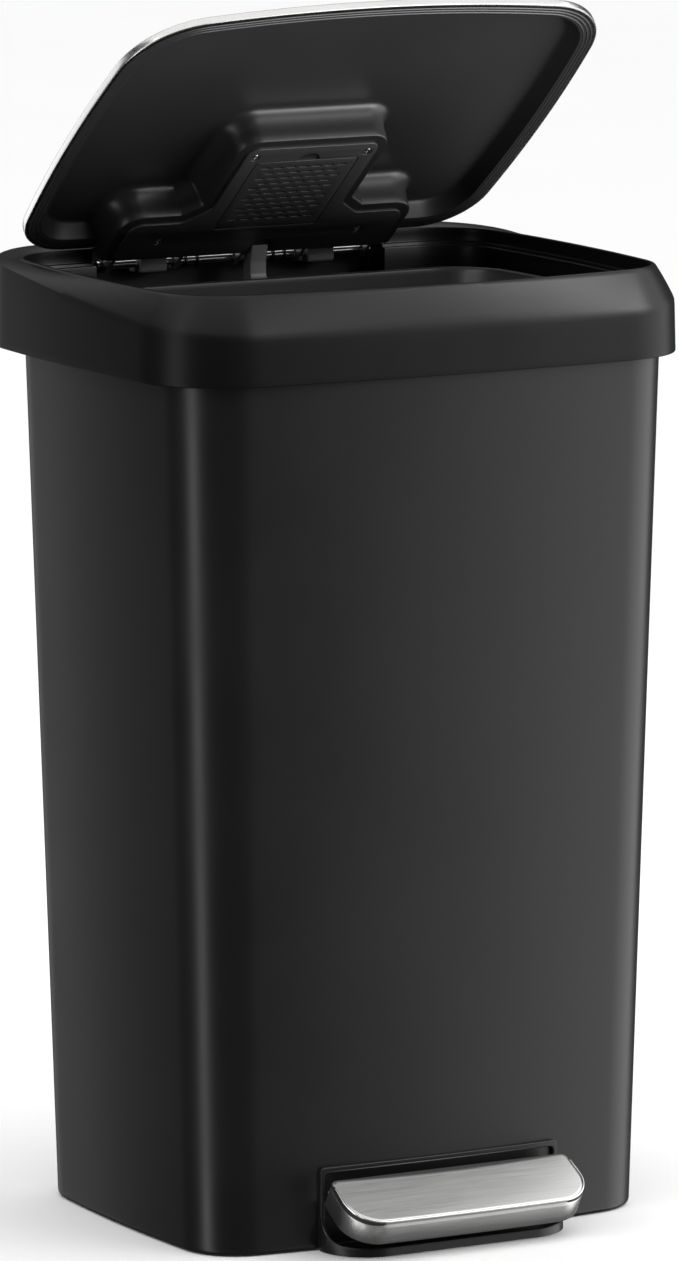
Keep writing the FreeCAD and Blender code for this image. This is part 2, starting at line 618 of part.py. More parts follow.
def make_pedal_bezel():
    """Frame round the pedal, with the scoop that runs forward under it."""
    front, rear, low, floor_top = -132.0, -118.0, 0.4, 2.6
    frame = box(-OPENING_HALF, OPENING_HALF, front, rear, low, OPENING_TOP)
    rounded_top = rectangle(-OPENING_HALF, OPENING_HALF, -20, OPENING_TOP, 6)
    frame = frame.common(upright_slab(rounded_top, -140, -110))
    frame = frame.cut(upright_slab(rectangle(-88.0, 88.0, floor_top, 52.0, 3), -141, -109))
    rim_profile = [(LIP_FRONT - 1, low - 1, 0.5), (LIP_FRONT - 1, 6.2, 0.5), (-137.5, 7.5, 14),
                   (front - 0.5, 30, 0.5), (rear, 30, 0.5), (rear, low - 1, 0.5)]
    scoop = slab(scoop_plan(0, rear), low, 30).cut(slab(scoop_plan(2.4, rear + 2), floor_top, 31))
    scoop = scoop.common(side_slab(rim_profile, -91, 91))
    y, z = PEDAL_PIVOT
    lugs = [box(x, x + 5.5, y - 4.0, rear, z - 9, z + 4.2) for x in (-84.0, 78.5)]
    webs = [box(x, x + 9, y - 3, rear, z - 9, z - 3) for x in (-89.0, 80.0)]
    tongue = box(-70, 70, rear - 2, -106, 7.0, 9.0)
    riser = box(-70, 70, rear - 2, rear, 2.0, 9.0)
    bezel = fuse([frame, scoop, tongue, riser] + lugs + webs)
    return bezel.cut(rod((-84, y, z), X_AXIS, PEDAL_PIN_R, 168))


def upright_slab(corners, y0, y1):
    """Prism along Y whose (x, z, radius) outline is seen from the front."""
    shape = slab(corners, 0, y1 - y0)
    shape.rotate(V(0, 0, 0), X_AXIS, 90)
    shape.translate(V(0, y1, 0))
    return shape


def make_pedal_lever():
    """Channel from under the pedal, over its pivot, to the foot of the push rod."""
    y, z = LEVER_PIVOT
    nose_y, nose_z = ROLLER
    rail_outline = [(nose_y - 5, nose_z - 4.8, 4.6), (nose_y + 24, z - 4, 8), (y - 14, z - 4, 4),
                    (y - 8, z - 8, 4), (y + 8, z - 8, 4), (y + 14, z - 4, 4),
                    (LEVER_REAR, z - 4, 1), (LEVER_REAR, z + 4, 1),
                    (nose_y + 20, z + 4, 4), (nose_y - 5, nose_z + 4.8, 4.6)]
    rails = [side_slab(rail_outline, x, x + 2) for x in (-12.0, 10.0)]
    web = box(-10, 10, nose_y + 12, LEVER_REAR, z + 2, z + 4)
    lever = fuse(rails + [web])
    lever = lever.cut(rod((-13, y, z), X_AXIS, LEVER_PIN_R + RUNNING, 26))
    return lever.cut(rod((-13, *ROLLER), X_AXIS, 2.0, 26))


def make_lever_roller():
    return rod((-9.5, *ROLLER), X_AXIS, ROLLER_R, 19).cut(rod((-10, *ROLLER), X_AXIS, 2.0, 20))


def make_roller_pin():
    return rod((-12, *ROLLER), X_AXIS, 2.0, 24)


def bracket_screw_places():
    return [(x, LEVER_PIVOT[0] + dy) for x in (-22.0, 22.0) for dy in (-10.0, 10.0)]


def make_lever_bracket():
    y, z = LEVER_PIVOT
    base = slab(rectangle(-30, 30, y - 16, y + 16, 4), 7.0, 9.5)
    ear_outline = [(y - 12, 8, 0.5), (y + 12, 8, 0.5), (y + 6.5, z + 6.5, 6), (y - 6.5, z + 6.5, 6)]
    ears = [side_slab(ear_outline, x, x + 2.5) for x in (-15.0, 12.5)]
    bracket = fuse([base] + ears)
    for place_x, place_y in bracket_screw_places():
        bracket = bracket.cut(rod((place_x, place_y, 6), Z_AXIS, 2.0, 5))
    return bracket.cut(rod((-16, y, z), X_AXIS, LEVER_PIN_R, 32))


def make_lever_pin():
    return rod((-17, *LEVER_PIVOT), X_AXIS, LEVER_PIN_R, 34)


def make_bracket_screws():
    screws = []
    for x, y in bracket_screw_places():
        head = rod((x, y, 9.5), Z_AXIS, 3.4, 2.2)
        shank = rod((x, y, 7.0), Z_AXIS, 1.9, 2.6)
        screws.append(fuse([head, shank]))
    return Part.makeCompound(screws)


# ---------------------------------------------------------------- output
IN_PLACE = {
    "body_shell": make_body_shell, "base_plate": make_base_plate, "base_screws": make_base_screws,
    "rubber_feet": make_rubber_feet, "collar": make_collar, "inner_bucket": make_inner_bucket,
    "hinge_rod": make_hinge_rod, "hinge_blocks": make_hinge_blocks, "block_screws": make_block_screws,
    "rod_washers": make_rod_washers, "rod_clips": make_rod_clips, "rod_guides": make_rod_guides,
    "damper_cylinder": make_damper_cylinder, "pedal_bezel": make_pedal_bezel, "pedal_pin": make_pedal_pin,
    "lever_bracket": make_lever_bracket, "lever_pin": make_lever_pin, "bracket_screws": make_bracket_screws,
    "push_rod": make_push_rod, "lift_link": make_lift_link, "damper_piston": make_damper_piston,
    "pedal_lever": make_pedal_lever, "lever_roller": make_lever_roller, "roller_pin": make_roller_pin,
}
ON_LID = {
    "lid_skin": make_lid_skin, "lid_tray": make_lid_tray, "hinge_cover": make_hinge_cover,
    "cover_screws": make_cover_screws, "filter_door": make_filter_door,
    "filter_cartridge": make_filter_cartridge, "hinge_bracket": make_hinge_bracket,
    "lift_pin": make_lift_pin,
}
ON_PEDAL = {"pedal_plate": make_pedal_plate, "pedal_core": make_pedal_core}


def main():
    os.makedirs("parts", exist_ok=True)
    nodes = {name: make() for name, make in IN_PLACE.items()}
    nodes.update({name: opened(make()) for name, make in ON_LID.items()})
    nodes.update({name: tipped(make()) for name, make in ON_PEDAL.items()})
    for name, shape in nodes.items():
        shape.exportStep(f"parts/{name}.step")
        print(name, "solids", len(shape.Solids), "valid", shape.isValid())


main()
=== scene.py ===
"""Pedal trash can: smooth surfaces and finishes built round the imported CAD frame."""

import json
import math

import bpy
import bmesh
import numpy as np
from mathutils import Matrix, Vector


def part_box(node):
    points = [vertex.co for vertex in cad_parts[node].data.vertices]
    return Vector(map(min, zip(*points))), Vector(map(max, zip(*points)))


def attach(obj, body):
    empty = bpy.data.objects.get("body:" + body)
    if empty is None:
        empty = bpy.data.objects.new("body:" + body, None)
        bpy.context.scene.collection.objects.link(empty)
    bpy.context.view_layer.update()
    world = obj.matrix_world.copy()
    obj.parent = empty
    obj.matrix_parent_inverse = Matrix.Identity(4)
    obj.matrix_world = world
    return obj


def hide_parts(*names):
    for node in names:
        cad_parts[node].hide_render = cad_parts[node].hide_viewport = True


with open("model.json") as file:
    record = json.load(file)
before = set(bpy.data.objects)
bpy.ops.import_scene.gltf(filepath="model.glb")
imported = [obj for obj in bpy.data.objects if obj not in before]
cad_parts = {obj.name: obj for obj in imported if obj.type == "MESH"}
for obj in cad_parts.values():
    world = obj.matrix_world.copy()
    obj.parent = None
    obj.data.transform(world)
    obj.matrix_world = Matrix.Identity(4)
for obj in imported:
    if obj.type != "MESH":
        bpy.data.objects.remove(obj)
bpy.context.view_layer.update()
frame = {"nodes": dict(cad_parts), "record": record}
record = frame["record"]
SCALE = 0.001                       # lengths below are in millimetres
SHARP_ANGLE = 32.0                  # edges that turn more than this many degrees stay crisp
MERGE = 1e-7                        # metres; points closer than this are one point


# ---------------- where the CAD pieces are
def limits(node):
    """Lowest and highest corner of a CAD node, in millimetres."""
    low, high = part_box(node)
    return np.array(low) / SCALE, np.array(high) / SCALE


def joint_line(name):
    """Height and depth (y, z) of a hinge line that runs along X, in millimetres."""
    joint = next(j for j in record["behaviour"]["joints"] if j["name"] == name)
    return joint["pos_m"][1] / SCALE, joint["pos_m"][2] / SCALE


def about_x(points, pivot, degrees):
    """Points turned about the X axis through pivot (y, z); positive lifts the rear."""
    a = math.radians(degrees)
    p = np.array(points, float)
    dy, dz = p[..., 1] - pivot[0], p[..., 2] - pivot[1]
    out = p.copy()
    out[..., 1] = pivot[0] + dy * math.cos(a) - dz * math.sin(a)
    out[..., 2] = pivot[1] + dy * math.sin(a) + dz * math.cos(a)
    return out


def turned_limits(node, pivot, degrees):
    """Limits of a CAD node after it is turned back to its level pose."""
    co = np.array([v.co for v in frame["nodes"][node].data.vertices]) / SCALE
    co = about_x(co, pivot, degrees)
    return co.min(0), co.max(0)


HINGE = joint_line("lid_hinge")
lid_joint = next(j for j in record["behaviour"]["joints"] if j["name"] == "lid_hinge")
OPEN_ANGLE = -lid_joint["range_deg"][0]    # lid angle at rest, from closed
PEDAL_PIVOT = joint_line("pedal_pivot")
PEDAL_TILT = 29.25                  # nose-down angle of the pedal at rest, in degrees

body_low, body_high = limits("body_shell")
collar_low, collar_high = limits("collar")
bucket_low, bucket_high = limits("inner_bucket")
bezel_low, bezel_high = limits("pedal_bezel")
skin_low, skin_high = turned_limits("lid_skin", HINGE, OPEN_ANGLE)
cover_low, cover_high = turned_limits("hinge_cover", HINGE, OPEN_ANGLE)
door_low, door_high = turned_limits("filter_door", HINGE, OPEN_ANGLE)
pedal_low, pedal_high = turned_limits("pedal_plate", PEDAL_PIVOT, -PEDAL_TILT)


# ---------------- outlines
def arc(centre, radius, start, end, count, last=False):
    """Points along an arc, angles in radians; its end point is left out unless last is set."""
    angles = np.linspace(start, end, count + 1)
    if not last:
        angles = angles[:-1]
    return np.stack([centre[0] + radius * np.cos(angles), centre[1] + radius * np.sin(angles)], 1)


def bowed_quarter(half_width, half_depth, end_bow, side_bow, corner, inset, counts):
    """Points from the middle of an end (facing +Y) round the corner to the middle of the +X side."""
    end_r = (half_width ** 2 + end_bow ** 2) / (2 * end_bow)
    side_r = (half_depth ** 2 + side_bow ** 2) / (2 * side_bow)
    end_c = np.array([0, half_depth - end_r])
    side_c = np.array([half_width - side_r, 0])
    end_r -= inset
    side_r -= inset
    d_end, d_side = end_r - corner, side_r - corner
    line = side_c - end_c
    gap = np.linalg.norm(line)
    along = (d_end ** 2 - d_side ** 2 + gap ** 2) / (2 * gap)
    off = math.sqrt(max(d_end ** 2 - along ** 2, 0.0))
    unit = line / gap
    normal = np.array([-unit[1], unit[0]])
    choices = [end_c + unit * along + normal * side * off for side in (1, -1)]
    corner_c = max(choices, key=sum)
    end_angle = math.atan2(*(corner_c - end_c)[::-1])
    side_angle = math.atan2(*(corner_c - side_c)[::-1])
    return np.concatenate([
        arc(end_c, end_r, math.pi / 2, end_angle, counts[0]),
        arc(corner_c, corner, end_angle, side_angle, counts[1]),
        arc(side_c, side_r, side_angle, 0.0, counts[2], last=True)])


class Plan:
    """A rounded rectangle with bowed sides.

    Its values are half width, front y, rear y, corner radius, and front, side and rear bow.
    front_extra is what the front corners' radius has over the rear corners'.
    """

    def __init__(self, half, front, rear, corner, front_bow, side_bow, rear_bow, front_extra=0.0):
        self.values = np.array([half, front, rear, corner, front_bow, side_bow, rear_bow], float)
        self.front_extra = front_extra

    def shifted(self, *deltas):
        """A plan whose first values have grown by deltas."""
        changed = Plan(*self.values)
        changed.values[:len(deltas)] += deltas
        return changed

    def ring(self, inset=0.0, z=0.0, counts=(26, 18, 20), smallest=10.0):
        """Closed ring at height z, inset from the plan; smallest is the least corner radius."""
        half, front, rear, corner, front_bow, side_bow, rear_bow = self.values
        middle = (front + rear) / 2
        depth = (rear - front) / 2
        rear_radius = max(corner - inset, smallest)
        front_radius = max(corner + self.front_extra - inset, smallest)
        rear_q = bowed_quarter(half, depth, rear_bow, side_bow, rear_radius, inset, counts)
        front_q = bowed_quarter(half, depth, front_bow, side_bow, front_radius, inset, counts) * [1, -1]
        right = np.concatenate([front_q[:-1], rear_q[::-1]])
        left = right[1:-1][::-1] * [-1, 1]
        flat = np.concatenate([right, left])
        out = np.zeros((len(flat), 3))
        out[:, 0], out[:, 1], out[:, 2] = flat[:, 0], flat[:, 1] + middle, z
        return out


SMALLEST_RADIUS = 0.4               # least corner radius left by offset_corners


def offset_corners(corners, grow):
    """Counter-clockwise (x, y, radius) corners with every edge moved outwards by grow."""
    points = np.array([c[:2] for c in corners], float)
    count = len(points)
    moved = []
    for i in range(count):
        before, here, after = points[i - 1], points[i], points[(i + 1) % count]
        u = (here - before) / np.linalg.norm(here - before)
        v = (after - here) / np.linalg.norm(after - here)
        n_u, n_v = np.array([u[1], -u[0]]), np.array([v[1], -v[0]])
        turn = u[0] * v[1] - u[1] * v[0]
        shift = (n_u + n_v) / (1 + n_u @ n_v) * grow
        radius = corners[i][2] + grow if turn > 0 else corners[i][2] - grow
        moved.append((here[0] + shift[0], here[1] + shift[1], max(radius, SMALLEST_RADIUS)))
    return moved


def rounded_points(corners, per_corner=10, per_edge=1):
    """Points along a closed outline through (x, y, radius) corners."""
    count = len(corners)
    turns = []
    for i, (x, y, radius) in enumerate(corners):
        here = np.array([x, y], float)
        before = np.array(corners[i - 1][:2], float) - here
        after = np.array(corners[(i + 1) % count][:2], float) - here
        before /= np.linalg.norm(before)
        after /= np.linalg.norm(after)
        half = math.acos(max(-1, min(1, before @ after))) / 2
        reach = radius / math.tan(half)
        bisector = (before + after) / np.linalg.norm(before + after)
        centre = here + bisector * radius / math.sin(half)
        start, end = here + before * reach, here + after * reach
        a0 = math.atan2(*(start - centre)[::-1])
        a1 = math.atan2(*(end - centre)[::-1])
        sweep = (a1 - a0 + math.pi) % (2 * math.pi) - math.pi
        turns.append(arc(centre, radius, a0, a0 + sweep, per_corner, last=True))
    points = []
    for i, turn in enumerate(turns):
        points.extend(turn)
        following = turns[(i + 1) % count][0]
        for k in range(1, per_edge):
            points.append(turn[-1] + (following - turn[-1]) * k / per_edge)
    return np.array(points)


def box_corners(x0, x1, y0, y1, radius):
    """(x, y, radius) corners of a rectangle."""
    return [(x0, y0, radius), (x1, y0, radius), (x1, y1, radius), (x0, y1, radius)]


def both_sides(corners):
    """Right-hand corners, front to rear, completed with their left-hand twins."""
    return list(corners) + [(-x, y, r) for x, y, r in corners[::-1]]


def at_height(flat, z):
    """A flat outline as a ring at height z."""
    out = np.zeros((len(flat), 3))
    out[:, :2] = flat
    out[:, 2] = z
    return out


# ---------------- meshes
def finish_mesh(obj):
    """Smooth shading with crisp edges where the surface turns sharply."""
    mesh = obj.data
    mesh.polygons.foreach_set("use_smooth", [True] * len(mesh.polygons))
    mesh.set_sharp_from_angle(angle=math.radians(SHARP_ANGLE))
    return obj


def new_object(name, vertices, faces):
    """A mesh object from points in millimetres."""
    mesh = bpy.data.meshes.new(name)
    mesh.from_pydata([tuple(v) for v in np.array(vertices) * SCALE], [], faces)
    mesh.update()
    obj = bpy.data.objects.new(name, mesh)
    bpy.context.scene.collection.objects.link(obj)
    clean(mesh)
    return finish_mesh(obj)


def clean(mesh, merge=None, turn_outwards=True):
    """Merges points closer than merge, in metres, and turns the faces outwards."""
    bm = bmesh.new()
    bm.from_mesh(mesh)
    if merge:
        bmesh.ops.remove_doubles(bm, verts=bm.verts, dist=merge)
    if turn_outwards:
        bmesh.ops.recalc_face_normals(bm, faces=bm.faces)
    bm.to_mesh(mesh)
    bm.free()


def loft(name, rings, cap_first=True, cap_last=True):
    """Skin through closed rings that all have the same number of points."""
    count = len(rings[0])
    faces = []
    for k in range(len(rings) - 1):
        a, b = k * count, (k + 1) * count
        for i in range(count):
            j = (i + 1) % count
            faces.append((a + i, a + j, b + j, b + i))
    if cap_first:
        faces.append(tuple(range(count))[::-1])
    if cap_last:
        last = (len(rings) - 1) * count
        faces.append(tuple(range(last, last + count)))
    return new_object(name, np.concatenate(rings), faces)


def joined(name, objects):
    """Several objects made into one piece."""
    bpy.ops.object.select_all(action="DESELECT")
    for obj in objects:
        obj.select_set(True)
    bpy.context.view_layer.objects.active = objects[0]
    bpy.ops.object.join()
    objects[0].name = name
    objects[0].data.name = name
    return objects[0]


def evaluated_mesh(obj):
    """A new mesh of the object with its curve or modifiers worked out."""
    return bpy.data.meshes.new_from_object(obj.evaluated_get(bpy.context.evaluated_depsgraph_get()))


def plate(name, outline, holes, z0, z1, bevel=0.4, segments=3):
    """A flat plate with holes and softly rounded edges, lying between heights z0 and z1."""
    curve = bpy.data.curves.new(name, "CURVE")
    curve.dimensions = "2D"
    curve.fill_mode = "BOTH"
    for points in [outline] + list(holes):
        spline = curve.splines.new("POLY")
        spline.points.add(len(points) - 1)
        for point, (x, y) in zip(spline.points, points):
            point.co = (x * SCALE, y * SCALE, 0, 1)
        spline.use_cyclic_u = True
    curve.offset = -bevel * SCALE
    curve.bevel_depth = bevel * SCALE
    curve.bevel_resolution = segments
    curve.extrude = ((z1 - z0) / 2 - bevel) * SCALE
    holder = bpy.data.objects.new(name + "_curve", curve)
    bpy.context.scene.collection.objects.link(holder)
    mesh = evaluated_mesh(holder)
    bpy.data.objects.remove(holder)
    bpy.data.curves.remove(curve)
    mesh.transform(Matrix.Translation((0, 0, (z0 + z1) / 2 * SCALE)))
    obj = bpy.data.objects.new(name, mesh)
    mesh.name = name
    bpy.context.scene.collection.objects.link(obj)
    clean(mesh, merge=10 * MERGE)
    mesh.materials.clear()
    return finish_mesh(obj)


# For an axis: the two directions across it, then the direction along it.
AXES = {"x": (1, 2, 0), "z": (0, 1, 2)}


def lathe(name, centre, profile, axis="x", segments=48):
    """A turned piece about an axis through centre; profile is (distance along the axis, radius)."""
    across, upright, along_axis = AXES[axis]
    angles = np.linspace(0, 2 * math.pi, segments, endpoint=False)
    rings = []
    for along, radius in profile:
        ring = np.zeros((segments, 3))
        ring[:, across] = radius * np.cos(angles)
        ring[:, upright] = radius * np.sin(angles)
        ring[:, along_axis] = along
        rings.append(ring + np.array(centre))
    closed = profile[0] == profile[-1]
    return loft(name, rings, not closed, not closed)


def bar(name, centre, start, end, radius, rounding=0.5, steps=4):
    """A rod along X with rounded ends."""
    profile = [(start, radius - rounding)]
    for k in range(1, steps + 1):
        a = math.pi / 2 * k / steps
        profile.append((start + rounding * (1 - math.cos(a)), radius - rounding + rounding * math.sin(a)))
    profile += [(end - (along - start), r) for along, r in profile[::-1]]
    return lathe(name, centre, profile)


def ring_piece(name, centre, start, end, inner, outer, chamfer=0.25):
    """A washer or clip along X."""
    profile = [(start, inner), (start, outer - chamfer), (start + chamfer, outer),
               (end - chamfer, outer), (end, outer - chamfer), (end, inner), (start, inner)]
    return lathe(name, centre, profile)


def cut(obj, tool):
    """Takes the tool's volume out of the object and removes the tool."""
    modifier = obj.modifiers.new("cut", "BOOLEAN")
    modifier.operation = "DIFFERENCE"
    modifier.solver = "EXACT"
    modifier.object = tool
    mesh = evaluated_mesh(obj)
    obj.modifiers.clear()
    obj.data = mesh
    mesh.name = obj.name
    bpy.data.objects.remove(tool)
    return finish_mesh(obj)


def moved(obj, change):
    """Applies a function on millimetre points to the object's mesh."""
    mesh = obj.data
    co = np.zeros(len(mesh.vertices) * 3)
    mesh.vertices.foreach_get("co", co)
    co = change(co.reshape(-1, 3) / SCALE) * SCALE
    mesh.vertices.foreach_set("co", co.ravel())
    mesh.update()
    return obj


def on_open_lid(obj):
    """Moves a piece drawn on the closed lid to the rest pose."""
    return moved(obj, lambda p: about_x(p, HINGE, -OPEN_ANGLE))


def on_pedal(obj):
    """Moves a piece drawn on the level pedal to the rest pose."""
    return moved(obj, lambda p: about_x(p, PEDAL_PIVOT, PEDAL_TILT))


def side_to_x(obj):
    """Turns a plate drawn as (y, z) with its thickness along the third axis into a plate across X."""
    return moved(obj, lambda p: p[:, [2, 0, 1]])


def front_to_y(obj):
    """Turns a plate drawn as (x, z) with its thickness along the third axis into a plate across Y.

    Swapping two axes mirrors the mesh, so its faces end up pointing inwards.
    """
    return moved(obj, lambda p: p[:, [0, 2, 1]])


# Pieces by the name they were made under; a CAD node may hold the same name in Blender.
pieces_by_name = {}


def put(obj, body, slot, material, *nodes):
    """Gives a piece its finish, its body and the CAD nodes it stands for."""
    pieces_by_name[obj.name.split(".")[0]] = obj
    obj.data.materials.clear()
    obj.data.materials.append(material)
    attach(obj, body)
    if nodes:
        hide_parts(*nodes)
    return obj


def dress(node, material):
    """A CAD node that is shown as it is, with a better finish."""
    mesh = frame["nodes"][node].data
    for i in range(len(mesh.materials)):
        mesh.materials[i] = material
    if not mesh.materials:
        mesh.materials.append(material)


# ---------------- finishes
def node(tree, kind, **inputs):
    """A shader node with constants on its sockets; an underscore stands for a space."""
    made = tree.nodes.new(kind)
    for key, value in inputs.items():
        made.inputs[key.replace("_", " ")].default_value = value
    return made


def start_material(name, colour, **constants):
    """A principled material with its object coordinates ready."""
    material = bpy.data.materials.new(name)
    material.use_nodes = True
    tree = material.node_tree
    shader = tree.nodes["Principled BSDF"]
    shader.inputs["Base Color"].default_value = (*colour, 1)
    for key, value in constants.items():
        shader.inputs[key.replace("_", " ")].default_value = value
    coordinates = tree.nodes.new("ShaderNodeTexCoord")
    return material, tree, shader, coordinates.outputs["Object"]


def stretched(tree, source, scale):
    """Coordinates scaled apart along each axis, so noise on them runs in lines."""
    mapping = tree.nodes.new("ShaderNodeMapping")
    mapping.inputs["Scale"].default_value = scale
    tree.links.new(source, mapping.inputs["Vector"])
    return mapping.outputs["Vector"]


def noise(tree, source, scale, detail=3.0, roughness=0.5):
    made = node(tree, "ShaderNodeTexNoise", Scale=scale, Detail=detail, Roughness=roughness)
    tree.links.new(source, made.inputs["Vector"])
    return made.outputs["Fac"]


NOISE_LOW, NOISE_HIGH = 0.3, 0.7    # the span that most of a noise texture's values lie in


def remapped(tree, source, low, high):
    """Noise spread over low to high."""
    made = node(tree, "ShaderNodeMapRange", From_Min=NOISE_LOW, From_Max=NOISE_HIGH, To_Min=low, To_Max=high)
    tree.links.new(source, made.inputs["Value"])
    return made.outputs["Result"]


def tinted(tree, source, dark, light):
    """Noise as a colour between dark and light."""
    ramp = tree.nodes.new("ShaderNodeValToRGB")
    stops = zip(ramp.color_ramp.elements, (NOISE_LOW, NOISE_HIGH), (dark, light))
    for element, position, colour in stops:
        element.position = position
        element.color = (*colour, 1)
    tree.links.new(source, ramp.inputs["Fac"])
    return ramp.outputs["Color"]


def bumped(tree, shader, source, strength, distance):
    """Fine relief on the finish; distance is its depth in metres."""
    bump = node(tree, "ShaderNodeBump", Strength=strength, Distance=distance)
    tree.links.new(source, bump.inputs["Height"])
    tree.links.new(bump.outputs["Normal"], shader.inputs["Normal"])


def scaled(colour, factor):
    return tuple(c * factor for c in colour)


def moulded(name, colour, roughness, grain=900.0, depth=0.00003, spread=0.05, specular=0.5):
    """Moulded plastic: fine spark-eroded grain and soft mottling."""
    material, tree, shader, place = start_material(name, colour, Specular_IOR_Level=specular)
    broad = noise(tree, place, 9.0, 4.0)
    tree.links.new(remapped(tree, broad, roughness - spread, roughness + spread), shader.inputs["Roughness"])
    tree.links.new(tinted(tree, broad, scaled(colour, 0.93), scaled(colour, 1.07)),
                   shader.inputs["Base Color"])
    bumped(tree, shader, noise(tree, place, grain, 2.0), 0.25, depth)
    return material


def brushed(name, colour, roughness, contrast, strength, fine=2600.0, coarse=260.0, anisotropic=0.5):
    """Stainless sheet with a brushed grain that runs along X."""
    spread, depth = 0.08, 0.00002
    material, tree, shader, place = start_material(name, colour, Metallic=1.0, Anisotropic=anisotropic)
    grain = (0.012, 1, 1)
    lines = noise(tree, stretched(tree, place, grain), fine, 2.0, 0.6)
    bands = noise(tree, stretched(tree, place, grain), coarse, 3.0, 0.55)
    mix = tree.nodes.new("ShaderNodeMix")
    mix.inputs["Factor"].default_value = 0.4
    tree.links.new(lines, mix.inputs["A"])
    tree.links.new(bands, mix.inputs["B"])
    tree.links.new(remapped(tree, mix.outputs["Result"], roughness - spread, roughness + spread),
                   shader.inputs["Roughness"])
    tree.links.new(tinted(tree, mix.outputs["Result"], scaled(colour, 1 - contrast), colour),
                   shader.inputs["Base Color"])
    bumped(tree, shader, mix.outputs["Result"], strength, depth)
    return material


def plain_metal(name, colour, roughness):
    """Drawn or plated steel with faint drawing lines and dull spots."""
    spread = 0.05
    material, tree, shader, place = start_material(name, colour, Metallic=1.0)
    spots = noise(tree, place, 120.0, 4.0)
    tree.links.new(remapped(tree, spots, roughness - spread, roughness + spread), shader.inputs["Roughness"])
    tree.links.new(tinted(tree, spots, scaled(colour, 0.88), colour), shader.inputs["Base Color"])
    bumped(tree, shader, noise(tree, stretched(tree, place, (0.05, 1, 1)), 1800.0), 0.1, 0.00001)
    return material


def felt(name, colour):
    """Carbon felt: coarse fibres, fully rough."""
    material, tree, shader, place = start_material(name, colour, Roughness=1.0, Sheen_Weight=0.25)
    fibres = noise(tree, place, 700.0, 6.0, 0.7)
    tree.links.new(tinted(tree, fibres, scaled(colour, 0.6), scaled(colour, 1.5)),
                   shader.inputs["Base Color"])
    bumped(tree, shader, fibres, 0.8, 0.0004)
    return material


# name, base colour, roughness; the very dark plastics are set by how they look, not measured.
BODY = moulded("charcoal_body", (0.0055, 0.0055, 0.0058), 0.34, grain=1100.0, depth=0.00004, spread=0.03)
BASE = moulded("black_base", (0.022, 0.022, 0.024), 0.5)
COLLAR = moulded("black_collar", (0.003, 0.003, 0.0033), 0.36, grain=1300.0, spread=0.03, specular=0.2)
BUCKET = moulded("black_bucket", (0.020, 0.020, 0.022), 0.38)
TRAY = moulded("black_tray", (0.016, 0.016, 0.017), 0.36, grain=1300.0, spread=0.03)
COVER = moulded("black_cover", (0.024, 0.024, 0.025), 0.38, grain=1300.0, spread=0.03)
BEZEL = moulded("black_bezel", (0.008, 0.008, 0.009), 0.36, spread=0.03)
LINK = moulded("grey_nylon", (0.16, 0.16, 0.165), 0.42)
DAMPER = moulded("dark_damper", (0.04, 0.04, 0.045), 0.2)
RUBBER = moulded("foot_rubber", (0.03, 0.03, 0.032), 0.7, grain=500.0, depth=0.0001)
LID_STEEL = brushed("lid_stainless", (0.57, 0.57, 0.56), 0.26, contrast=0.16, strength=0.08)
PEDAL_STEEL = brushed("pedal_stainless", (0.66, 0.66, 0.65), 0.34, contrast=0.3, strength=0.6,
                      fine=2800.0, coarse=900.0, anisotropic=0.0)
BEAD_STEEL = plain_metal("pedal_bead", (0.78, 0.78, 0.77), 0.16)
ROD_STEEL = plain_metal("bright_rod", (0.72, 0.72, 0.72), 0.2)
BRACKET_STEEL = plain_metal("zinc_bracket", (0.55, 0.55, 0.54), 0.34)
SCREW_STEEL = plain_metal("screw_steel", (0.66, 0.66, 0.66), 0.22)
CLIP_STEEL = plain_metal("spring_clip", (0.10, 0.10, 0.11), 0.34)
FELT = felt("carbon_felt", (0.012, 0.012, 0.013))


# ---------------- body
WALL = 2.5
DECK_LOW, DECK_TOP = 64.0, 67.0     # the plate inside the body that carries the bucket
FOOT_HEIGHT = 5.0                   # where the inside wall starts, above the foot's rounding
BODY_CORNER = 45.1
BODY_BOWS = (13.0, 7.4, 5.0)        # front, side and rear
# Change of half width, front, rear and corner radius per mm below the top.
TAPER = np.array([-0.02693, 0.01801, -0.02487, -0.00686])
body_top = Plan(body_high[0], body_low[1], body_high[1], BODY_CORNER, *BODY_BOWS)


def body_plan(z):
    drop = body_high[2] - z
    return body_top.shifted(*(TAPER * drop))


def body_ring(inset, z):
    return body_plan(z).ring(inset, z)


def make_body():
    low = body_low[2]
    top = body_high[2]
    rings = [body_ring(WALL, DECK_LOW), body_ring(WALL, FOOT_HEIGHT)]
    rings += [body_ring(WALL, low + 0.6), body_ring(WALL + 0.5, low)]
    rounding = [(2.2, 0.0), (1.3, 0.35), (0.65, 0.9), (0.25, 1.8), (0.05, 2.9), (0.0, 4.0)]
    rings += [body_ring(inset, low + rise) for inset, rise in rounding]
    by_the_pedal, above_it = np.linspace(9, 72, 22), np.linspace(100, top - 1, 20)
    rings += [body_ring(0.0, z) for z in (*by_the_pedal, *above_it)]
    rings += [body_ring(0.5, top), body_ring(WALL, top), body_ring(WALL, 300.0), body_ring(WALL, DECK_TOP)]
    body = loft("body", rings)
    half_width = bezel_high[0] + 0.7
    opening_top = bezel_high[2] + 0.6
    opening = rounded_points(box_corners(-half_width, half_width, -30, opening_top, 1.5), per_corner=12)
    # The mirrored tool points inwards, so this cut takes nothing away and the wall stays whole;
    # clean(hole.data) before it would open the wall.
    hole = front_to_y(loft("hole", [at_height(opening, -150), at_height(opening, -110)]))
    cut(body, hole)
    put(body, "body", "body_plastic", BODY, "body_shell")


